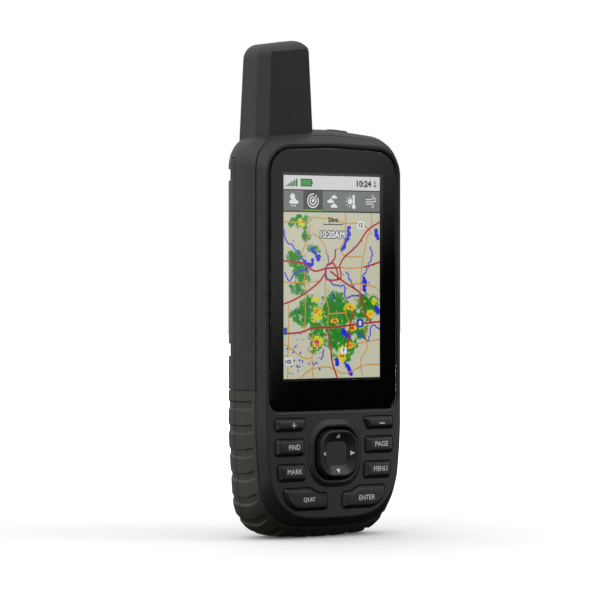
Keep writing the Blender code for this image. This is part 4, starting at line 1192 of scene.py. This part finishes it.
def map_ground(paints):
    """The land with its rain, the water and the roads."""
    rng = random.Random(7)
    ground = weather_map("picture_map")
    picture("screen_map", [area(0, MAP_HEAD, PAGE_WIDTH, PAGE_HEIGHT)], 1, ground)
    picture("screen_water", water(rng), 2, paints["water"], clip=True)
    minor = [ribbon(wandering(path, 0.1, rng, steps=5), 0.38) for path in MINOR_ROADS]
    picture("screen_minor_roads", minor, 3, paints["minor"], clip=True)
    major = [ribbon(smooth_path(path), 0.62) for path in MAJOR_ROADS]
    picture("screen_major_roads", major, 4, paints["major"], clip=True)


def map_labels(paints):
    """The scale bar, the time of the radar picture, the road numbers and the position arrow."""
    scale_bar = [ribbon([(16.1, 15.3), (16.1, 15.9), (24.3, 15.9), (24.3, 15.3)], 0.3),
                 *printed("20mi", 20.2, 14.35, 4.0, 1.5, 0.09)]
    picture("screen_scale_bar", scale_bar, 5, paints["black"])
    stamp = ("10:20AM", 20.0, 19.2, 9.9, 2.15)
    picture("screen_time_outline", printed(*stamp, 0.4), 5, paints["black"])
    picture("screen_time", printed(*stamp, 0.1), 6, paints["white"])
    plain_badges = [badge(31.8, 16.0, 2.9, 2.5), badge(24.6, 57.4, 2.7, 2.3), badge(1.9, 60.7, 3.3, 2.4)]
    picture("screen_badges", plain_badges, 5, paints["white"])
    numbers = [*printed("12", 31.8, 16.0, 1.5, 1.3, 0.08), *printed("7", 24.6, 57.4, 0.8, 1.3, 0.08),
               *printed("105", 1.9, 60.7, 2.3, 1.3, 0.08)]
    picture("screen_badge_numbers", numbers, 6, paints["black"])
    blue_badges = [badge(31.5, 48.4, 3.0, 2.7), badge(0.7, 50.8, 1.4, 2.5)]
    picture("screen_badge_blue", blue_badges, 5, paints["badge_blue"])
    picture("screen_badge_blue_number", printed("8", 31.5, 48.4, 0.9, 1.4, 0.1), 6, paints["white"])
    left = [(20.3, 37.6), (19.1, 40.8), (20.3, 40.4)]
    right = [(20.3, 37.6), (20.3, 40.4), (21.6, 40.8)]
    picture("screen_arrow_left", [(left, [(0, 1, 2)])], 7, paints["arrow"])
    picture("screen_arrow_right", [(right, [(0, 1, 2)])], 7, paints["arrow_dark"])


def display():
    paints = picture_paints()
    status_bar(paints)
    tab_bar(paints)
    map_ground(paints)
    map_labels(paints)


# ---------------------------------------------------------------- antenna and power button

ANTENNA_LEFT, ANTENNA_RIGHT = across("antenna_radome")
ANTENNA_FRONT, ANTENNA_REAR = depth("antenna_radome")
ANTENNA_FOOT_Z, ANTENNA_PEAK = height("antenna_radome")
ANTENNA_CROWN = ANTENNA_PEAK - 0.55
ANTENNA_MIDDLE = (ANTENNA_LEFT + ANTENNA_RIGHT) / 2
ANTENNA_TAPER = (1.15, 1.35, 0.3, 0.5)
LEFT_CHAMFER = 3.8
CHAMFER_LEAN = 0.8
RIGHT_CHAMFER = 1.4
HEAD_FLAT = 46.0
HEAD_START = 72.0
HEAD_SLOPE = 0.09
FACET_TOP = 74.1
HEAD_FRONT = 5.2
HEAD_SIDE = 3.4
HEAD_RIGHT = 1.25


def antenna_plan(share, side, front_in, z, slope):
    """One ring of the radome. share runs from 0 at the foot to 1 at the shoulder."""
    taper_left, taper_right, taper_front, taper_back = (t * share for t in ANTENNA_TAPER)
    left = ANTENNA_LEFT + taper_left + side
    right = ANTENNA_RIGHT - taper_right - side * HEAD_RIGHT
    front = ANTENNA_FRONT + taper_front + front_in
    back = ANTENNA_REAR - taper_back - side
    lc = LEFT_CHAMFER - side * 0.3
    narrow = lc * CHAMFER_LEAN
    rc = RIGHT_CHAMFER
    corners = (
        (left + narrow, front, 0.35), (right - rc, front, 0.9), (right, front + rc, 0.9),
        (right, back - rc, 0.9), (right - rc, back, 0.9), (left + narrow, back, 1.3),
        (left, back - lc, 1.6), (left, front + lc, 1.6),
    )
    return [(x, d, z + slope * (x - ANTENNA_MIDDLE)) for x, d in rounded(corners, 5)]


def antenna():
    """The radome: a tapered eight-sided stub; its front facet ends in a crisp slanting edge."""
    rings = [antenna_plan(0.0, 0.0, 0.0, ANTENNA_FOOT_Z, 0.0)]
    rings.append(antenna_plan(0.0, 0.0, 0.0, HEAD_FLAT, 0.0))
    tall = HEAD_START - HEAD_FLAT
    for z in steps_between(HEAD_FLAT + 4.0, HEAD_START, 4.0):
        share = (z - HEAD_FLAT) / tall
        rings.append(antenna_plan(share, 0.0, 0.0, z, HEAD_SLOPE * share))
    rise = ANTENNA_CROWN - HEAD_START
    for k in range(1, 15):
        up = math.sin(math.radians(6.2 * k))
        z = HEAD_START + rise * up
        bevel = max((z - FACET_TOP) / (ANTENNA_CROWN - FACET_TOP), 0.0)
        front_in = HEAD_FRONT * (0.35 * bevel + 0.65 * (1.0 - math.sqrt(1.0 - bevel**2)))
        side = HEAD_SIDE * (1.0 - math.sqrt(1.0 - up**2))
        rings.append(antenna_plan(1.0, side, front_in, z, HEAD_SLOPE + 0.05 * up))
    dress(loft(rings), "antenna_radome_shell", "case", CASE, ("antenna_radome",), smooth_angle=14.0)


def power_button():
    """An oval rubber button with a dished top that follows the slope of the case."""
    low, high = across("power_button")
    x = (low + high) / 2
    front, back = depth("power_button")
    d = (front + back) / 2
    top = height("power_button")[1]
    oval = rectangle(3.9, d - 2.1, d + 2.1, 1.9, x)
    rings = []
    for z, margin, sag in (
        (46.2, 0.0, 0.0), (top - 0.75, 0.0, 0.0), (top - 0.55, -0.06, 0.0), (top - 0.45, -0.2, 0.0),
        (top - 0.43, -0.4, 0.0), (top - 0.5, -0.7, 0.08), (top - 0.6, -1.1, 0.2), (top - 0.66, -1.6, 0.3),
    ):
        ring = rounded(offset(oval, margin), 8)
        rings.append([(px, pd, z + 0.3 - 0.075 * (px - x) - sag * 0.3) for px, pd in ring])
    dress(loft(rings), "power_button_cap", "power_button", SEAL, ("power_button",))


# ---------------------------------------------------------------- rear case, grip and battery cover

REAR_WALL = 3.2
BAY_HALF = 15.2
BAY_LOW, BAY_HIGH = -45.5, 10.4
LATCH_Z = sum(height("latch_barrel")) / 2
COVER_TOP = height("battery_cover")[1] - HALF_GAP
PORT_HALF = 13.35
PORT_FOOT = 16.85
COVER_BACK = 26.7
GROOVE_PITCH = 7.64
GROOVE_HALF = 1.3
GROOVE_DEPTH = 0.5
GROOVE_FRONT = 4.9
FIRST_GROOVE = 4.85
GRIP_END_BACK = 22.4


def body(d0, d1, inset=0.0, step=1.2, soft=(False, False), steps=12):
    """The case's smooth outer form between two depths, its end edges softened where asked."""
    levels = [(d, inset) for d in steps_between(d0, d1, step)]
    if soft[0]:
        r = SEAM_ROUND
        levels[0] = (d0 + r, inset)
        levels = [(d0, inset + r), (d0 + r * 0.3, inset + r * 0.3), *levels]
    if soft[1]:
        r = SEAM_ROUND
        levels[-1] = (d1 - r, inset)
        levels += [(d1 - r * 0.3, inset + r * 0.3), (d1, inset + r)]
    return loft([[(x, d, z) for x, z in case_outline(d, margin, steps)] for d, margin in levels])


def cover_region(gap, d0, d1):
    """The part of the back that the battery cover takes: all below its top edge, but not the ports."""
    top, side, foot = COVER_TOP + gap, PORT_HALF - gap, PORT_FOOT + gap
    shape = (
        (-50, -100), (50, -100), (50, top), (side, top),
        (side, foot), (-side, foot), (-side, top), (-50, top),
    )
    return prism(shape, d0, d1)


def skin(outer, inner, d0, d1, top):
    """A shell that follows the case between two insets, two depths and a top edge."""
    made = body(d0, d1, outer)
    return cut(made, body(d0 - 0.9, d1 + 0.9, inner), box((-60, 60), (-5, 50), (top, 90)))


def hollow_for_boards(shell):
    """Clears the space behind the front case, the space in the head and the one in the port block."""
    cut(shell, body(PARTING - 0.8, 10.0, REAR_WALL))
    cut(shell, keep(body(8.6, 26.0, 2.9), box((-40, 40), (5, 30), (COVER_TOP + 1.4, 60))))
    cut(shell, box((-11, 11), (9.0, 24.9), (19.0, COVER_TOP + 2.2)))


def battery_bay(shell):
    """The bay's four walls and the latch's cup, with the recesses in the bay's floor."""
    walls = box((-BAY_HALF - 1.3, BAY_HALF + 1.3), (12.6, 23.2), (BAY_LOW - 1.4, BAY_HIGH + 1.4))
    cut(walls, box((-BAY_HALF, BAY_HALF), (5, 30), (BAY_LOW, BAY_HIGH)))
    cup = bar(0, LATCH_Z, 12.9, 18.0, 7.6)
    cut(cup, bar(0, LATCH_Z, 12.0, 19.0, 6.3))
    join(shell, walls, cup)
    cut(shell, box((-BAY_HALF, BAY_HALF), (11.7, 15.0), (BAY_LOW, BAY_HIGH)))
    cut(shell, box((-6.4, 6.4), (10.5, 12.5), (-20.4, -3.6)))


def port_openings(shell):
    """The weather cap's seat with the two ports in it, and the flashlight's window."""
    half, margin = across("weather_cap")[1], 0.3
    low, high = height("weather_cap")
    middle = (low + high) / 2
    seat = rounded(rectangle(half + margin, low - margin, high + margin, 1.5), 6)
    cut(
        shell,
        prism(seat, 26.6, 30),
        box((-8.5, -0.5), (24, 28), (middle - 1.7, middle + 1.7)),
        bar(6.0, middle, 24, 28, 2.7),
        bar(0.0, sum(height("flashlight_lens")) / 2, 24, 30, 2.55),
    )


def screw_holes(shell):
    for number in range(1, 6):
        x, z = (sum(pair(f"case_screw_{number}")) / 2 for pair in (across, height))
        cut(shell, bar(x, z, 8, 15, 1.1, sides=24), bar(x, z, 12.0, 15, 2.1, sides=32))


def button_opening(shell):
    x, d = sum(across("power_button")) / 2, sum(depth("power_button")) / 2
    oval = rounded(rectangle(4.15, d - 2.35, d + 2.35, 2.1, x), 8)
    cut(shell, loft([[(px, pd, z) for px, pd in oval] for z in (44.0, 52.0)]))


def rear_case():
    """The rear half: outer form, electronics space, battery bay, port block and openings."""
    shell = body(PARTING + HALF_GAP, BACK, soft=(True, True))
    cut(shell, cover_region(HALF_GAP, SEAM - HALF_GAP, BACK + 2))
    hollow_for_boards(shell)
    battery_bay(shell)
    cut(shell, skin(-1.5, GRIP_THICK + 0.15, 3.0, 14.5, GRIP_TOP + HALF_GAP))
    port_openings(shell)
    screw_holes(shell)
    button_opening(shell)
    dress(shell, "rear_case_shell", "case", CASE, ("rear_case",))


def lower_walk(d, count, inset):
    """Points along the case's lower outline, from the grip's top on the left round to the right."""
    outline = [Vector(p) for p in case_outline(d, inset, steps=24)]
    top = GRIP_TOP - HALF_GAP
    start = next(i for i, p in enumerate(outline) if outline[i - 1].y > top >= p.y)
    ordered = outline[start:] + outline[:start]
    before = outline[start - 1]
    share = (top - before.y) / (ordered[0].y - before.y)
    path = [before.lerp(ordered[0], share)]
    for point in ordered:
        if point.y > top:
            last = path[-1]
            path.append(last.lerp(point, (top - last.y) / (point.y - last.y)))
            break
        path.append(point)
    return evenly_spaced(path, count)


def evenly_spaced(path, count):
    """count + 1 points at an even pitch along a path, and the path's length."""
    marks = [0.0]
    for a, b in zip(path, path[1:]):
        marks.append(marks[-1] + (b - a).length)
    points, k = [], 0
    for i in range(count + 1):
        goal = marks[-1] * i / count
        while k < len(path) - 2 and marks[k + 1] < goal:
            k += 1
        share = (goal - marks[k]) / (marks[k + 1] - marks[k])
        points.append(path[k].lerp(path[k + 1], share))
    return points, marks[-1]


def groove_depth(run, length, d, d0, d1):
    """How far the grip is sunk at a place: round-ended grooves at an even pitch."""
    count = round((length - 2 * FIRST_GROOVE) / GROOVE_PITCH)
    pitch = (length - 2 * FIRST_GROOVE) / count
    nearest = min(max(round((run - FIRST_GROOVE) / pitch), 0), count)
    across_run = abs(run - FIRST_GROOVE - nearest * pitch) - GROOVE_HALF
    along_depth = max(d0 - d, d - d1)
    corner = 0.7
    a, b = max(across_run + corner, 0.0), max(along_depth + corner, 0.0)
    outside = math.hypot(a, b) - corner
    share = min(max(0.5 - outside / 0.36, 0.0), 1.0)
    return GROOVE_DEPTH * share * share * (3 - 2 * share)


def close_skin(bm, outer, inner):
    """Faces over both sheets of a skin, which are rows of points, and along its four edges."""
    rows, columns = len(outer) - 1, len(outer[0]) - 1
    for sheet in (outer, inner):
        for row, following in zip(sheet, sheet[1:]):
            for c in range(columns):
                bm.faces.new((row[c], row[c + 1], following[c + 1], following[c]))
    for r in (0, rows):
        for c in range(columns):
            bm.faces.new((outer[r][c], outer[r][c + 1], inner[r][c + 1], inner[r][c]))
    for c in (0, columns):
        for r in range(rows):
            bm.faces.new((outer[r][c], outer[r + 1][c], inner[r + 1][c], inner[r][c]))


def grip(name, cad, on_body, d0, d1, groove_from, groove_to):
    """A ribbed soft skin round the lower case between two depths."""
    count, edge_round = 640, 0.28
    levels = [(d0, edge_round), (d0 + 0.3 * edge_round, 0.3 * edge_round)]
    levels += [(d, 0.0) for d in steps_between(d0 + edge_round, d1 - edge_round, 0.3)]
    levels += [(d1 - 0.3 * edge_round, 0.3 * edge_round), (d1, edge_round)]
    bm = bmesh.new()
    outer, inner = [], []
    for d, edge in levels:
        shape, length = lower_walk(d, count, 0.0)
        under, _ = lower_walk(d, count, GRIP_THICK)
        row_out, row_in = [], []
        for i, (far, near) in enumerate(zip(shape, under)):
            run = length * i / count
            sink = groove_depth(run, length, d, groove_from, groove_to)
            soften = max(0.0, 1.0 - min(run, length - run) / 0.3) ** 2 * 0.3
            x, z = far.lerp(near, min((sink + edge + soften) / GRIP_THICK, 0.95))
            row_out.append(bm.verts.new((x, d, z)))
            row_in.append(bm.verts.new((near.x, d, near.y)))
        outer.append(row_out)
        inner.append(row_in)
    close_skin(bm, outer, inner)
    dress(to_object(bm), name, on_body, GRIP, (cad,))


def clip_notches():
    """Four notches in the cover's rear edges, where a clip's tabs would reach round."""
    bm = bmesh.new()
    for side in (-1, 1):
        for z0, z1 in ((31.5, 35.4), (-25.9, -21.8)):
            made = bmesh.ops.create_cube(bm, size=1.0)["verts"]
            bmesh.ops.scale(bm, verts=made, vec=(3.0, 12.0, z1 - z0))
            bmesh.ops.rotate(bm, verts=made, matrix=Matrix.Rotation(math.radians(38 * side), 3, "Z"))
            bmesh.ops.translate(bm, verts=made, vec=(side * 29.6, 19.4, (z0 + z1) / 2))
    return to_object(bm)


def spine():
    """The mounting spine: a rail with an undercut on each side for a clip or a bracket."""
    low, high = -36.0, 12.0
    half, neck_half = 9.0, 6.4
    back = depth("battery_cover")[1]
    neck = box((-neck_half, neck_half), (27.2, 31.0), (low + 1.5, high - 1.5))
    levels = ((30.1, -0.4), (30.3, -0.12), (30.5, 0.0), (back - 0.6, 0.0), (back - 0.25, -0.1),
              (back - 0.07, -0.28), (back, -0.55))
    return join(neck, stack(rectangle(half, low, high, 2.0), levels))


def battery_cover():
    """The cover: a deep shell with a fitting rim, a dished well for the latch, notches and a spine."""
    floor, recess = 25.8, 11.3
    shell = body(SEAM + HALF_GAP, BACK, soft=(True, True))
    keep(shell, cover_region(-HALF_GAP, SEAM - 3, BACK + 3))
    cut(shell, body(SEAM - 0.8, COVER_BACK, 3.0))
    rim = keep(body(SEAM + 2.0, COVER_BACK + 0.5, 1.0), cover_region(-HALF_GAP, SEAM - 3, BACK + 3))
    cut(rim, cover_region(-1.8, SEAM, BACK + 3))
    join(shell, rim)
    join(shell, bar(0, LATCH_Z, 23.7, COVER_BACK + 0.5, 12.4))
    cut(shell, skin(-1.5, GRIP_THICK + 0.15, SEAM - 1, COVER_GRIP_BACK + 0.2, GRIP_TOP + HALF_GAP))
    cut(shell, clip_notches())
    join(shell, spine())
    dish = lathe(LATCH_Z, ((floor, recess), (BACK - 0.9, recess), (BACK - 0.4, recess + 0.15),
                           (BACK - 0.1, recess + 0.5), (BACK + 3, recess + 0.6)))
    cut(shell, dish, bar(0, LATCH_Z, 20, BACK, 3.25))
    dress(shell, "battery_cover_shell", "cover", CASE, ("battery_cover",))


def weather_cap_ribs():
    """Three finger ribs by the free edge of the weather cap."""
    back = depth("weather_cap")[1]
    middle = sum(height("weather_cap")) / 2
    for number in range(3):
        x = across("weather_cap")[1] - 1.7 - 1.05 * number
        levels = ((back - 0.3, 0.0), (back + 0.1, 0.0), (back + 0.19, -0.05), (back + 0.22, -0.14))
        rib = stack(rectangle(0.35, middle - 2.3, middle + 2.3, 0.3, x), levels)
        dress(rib, f"weather_cap_rib_{number + 1}", "weather_cap", SEAL)


# ---------------------------------------------------------------- stage


SKY_FRONT = 0.115
SKY_ABOVE = 0.88
SKY_LEFT = 1.25
SKY_BEHIND = 0.55
SKY_BELOW = 0.03
SKY_DARK = 0.03
WINDOW = 0.6
DARK_FROM = math.radians(38.8)


def sky():
    """A white studio: bright above and on the left, with a dark flag in front on the right."""
    room = bpy.data.worlds.new("studio")
    bpy.context.scene.world = room
    room.use_nodes = True
    tree = room.node_tree
    direction = node(tree, "TexCoord").outputs["Generated"]
    right, away, up = node(tree, "SeparateXYZ", ((0, direction),)).outputs
    turn = maths(tree, "ARCTAN2", right, maths(tree, "MULTIPLY", away, -1.0))
    tilt = maths(tree, "ARCSINE", up)
    above = ramp(tree, up, 0.25, 0.8, 0.0, SKY_ABOVE)
    left = ramp(tree, right, -0.2, -1.0, 0.0, SKY_LEFT)
    behind = ramp(tree, away, 0.3, 0.9, SKY_FRONT, SKY_BEHIND)
    light = maths(tree, "ADD", maths(tree, "ADD", above, left), behind)
    window = maths(tree, "MULTIPLY", ramp(tree, turn, 0.5, 0.6, 0.0, WINDOW), ramp(tree, up, 0.25, 0.15))
    light = maths(tree, "ADD", light, window)
    past = maths(tree, "MULTIPLY_ADD", tilt, 0.83, maths(tree, "SUBTRACT", DARK_FROM, turn))
    flag = maths(tree, "MAXIMUM", ramp(tree, past, 0.0, 0.045, SKY_DARK, 1.0), ramp(tree, up, 0.3, 0.7))
    flag = maths(tree, "MAXIMUM", flag, ramp(tree, turn, 1.7, 2.3))
    light = maths(tree, "MULTIPLY", light, flag)
    light = maths(tree, "MULTIPLY", light, ramp(tree, up, -0.12, 0.0, SKY_BELOW, 1.0))
    seen = node(tree, "LightPath").outputs["Is Camera Ray"]
    strength = maths(tree, "ADD", maths(tree, "MULTIPLY", light, maths(tree, "SUBTRACT", 1.0, seen)), seen)
    feed(tree, tree.nodes["Background"], (("Color", WHITE), ("Strength", strength)))


def softbox(name, place, aim, size, power):
    """A square area light at one point, turned towards another (metres)."""
    made = bpy.data.lights.new(name, "AREA")
    made.size = size
    made.energy = power
    carrier = link_object(name, made)
    carrier.location = place
    carrier.rotation_euler = (Vector(aim) - Vector(place)).to_track_quat("-Z", "Y").to_euler()
    carrier.visible_camera = False


def floor_paper():
    """White paper that shines by itself away from the object, so that it meets the white behind."""
    made, tree, shader, place = new_material("floor_paper")
    reach = node(tree, "VectorMath", ((0, place),), operation="LENGTH").outputs["Value"]
    feed(tree, shader, (
        ("Base Color", (0.92, 0.92, 0.92, 1.0)),
        ("Roughness", ramp(tree, noise(tree, place, 1.5), 0.0, 1.0, 0.75, 0.9)),
        ("Emission Color", WHITE),
        ("Emission Strength", ramp(tree, reach, 0.06, 0.55, 0.08, 1.0)),
    ))
    return made


def floor():
    """The floor, which the camera sees and the object doesn't."""
    half = 3.0
    sheet = bpy.data.meshes.new("floor")
    corners = [(-half, -half, 0), (half, -half, 0), (half, half, 0), (-half, half, 0)]
    sheet.from_pydata(corners, [], [(0, 1, 2, 3)])
    sheet.materials.append(floor_paper())
    made = link_object("floor", sheet)
    made.visible_diffuse = False
    made.visible_glossy = False
    made.visible_transmission = False


def stage():
    sky()
    softbox("front_right_light", (0.36, -0.42, 0.45), world(0.0, 10.0, 0.0), 0.2, 0.6)
    softbox("low_right_light", (0.20, -0.16, 0.02), world(10.0, 0.0, -60.0), 0.06, 0.07)
    floor()
    bpy.context.scene.view_settings.view_transform = "Standard"


def camera():
    """A long lens, level with the screen and to its left, with the screen a little right of centre."""
    away, turn, frame_side = 1050.0, math.radians(37.7), 600
    made = bpy.data.cameras.new("camera")
    made.lens = 192.0
    made.sensor_width = 36.0
    made.shift_x = -34.7 / frame_side
    made.shift_y = -23.0 / frame_side
    made.clip_end = 20.0
    carrier = link_object("camera", made)
    sight = Vector((math.sin(turn), math.cos(turn), 0.0))
    carrier.location = world(-away * sight.x, -away * sight.y, 0.0)
    carrier.rotation_euler = sight.to_track_quat("-Z", "Y").to_euler()
    bpy.context.scene.camera = carrier


paint_frame()
soften_frame()
front_case()
for key_name, key_shape in KEY_SHAPES.items():
    key_cap(key_name, key_shape)
    key_legend(key_name, key_shape)
rocker()
lens()
display()
antenna()
power_button()
rear_case()
grip("grip_boot_skin", "grip_boot", "case", PARTING + HALF_GAP, SEAM - HALF_GAP, GROOVE_FRONT, 40.0)
battery_cover()
grip("cover_grip_skin", "cover_grip", "cover", SEAM + HALF_GAP, COVER_GRIP_BACK, -9.0, GRIP_END_BACK)
weather_cap_ribs()
stage()
camera()
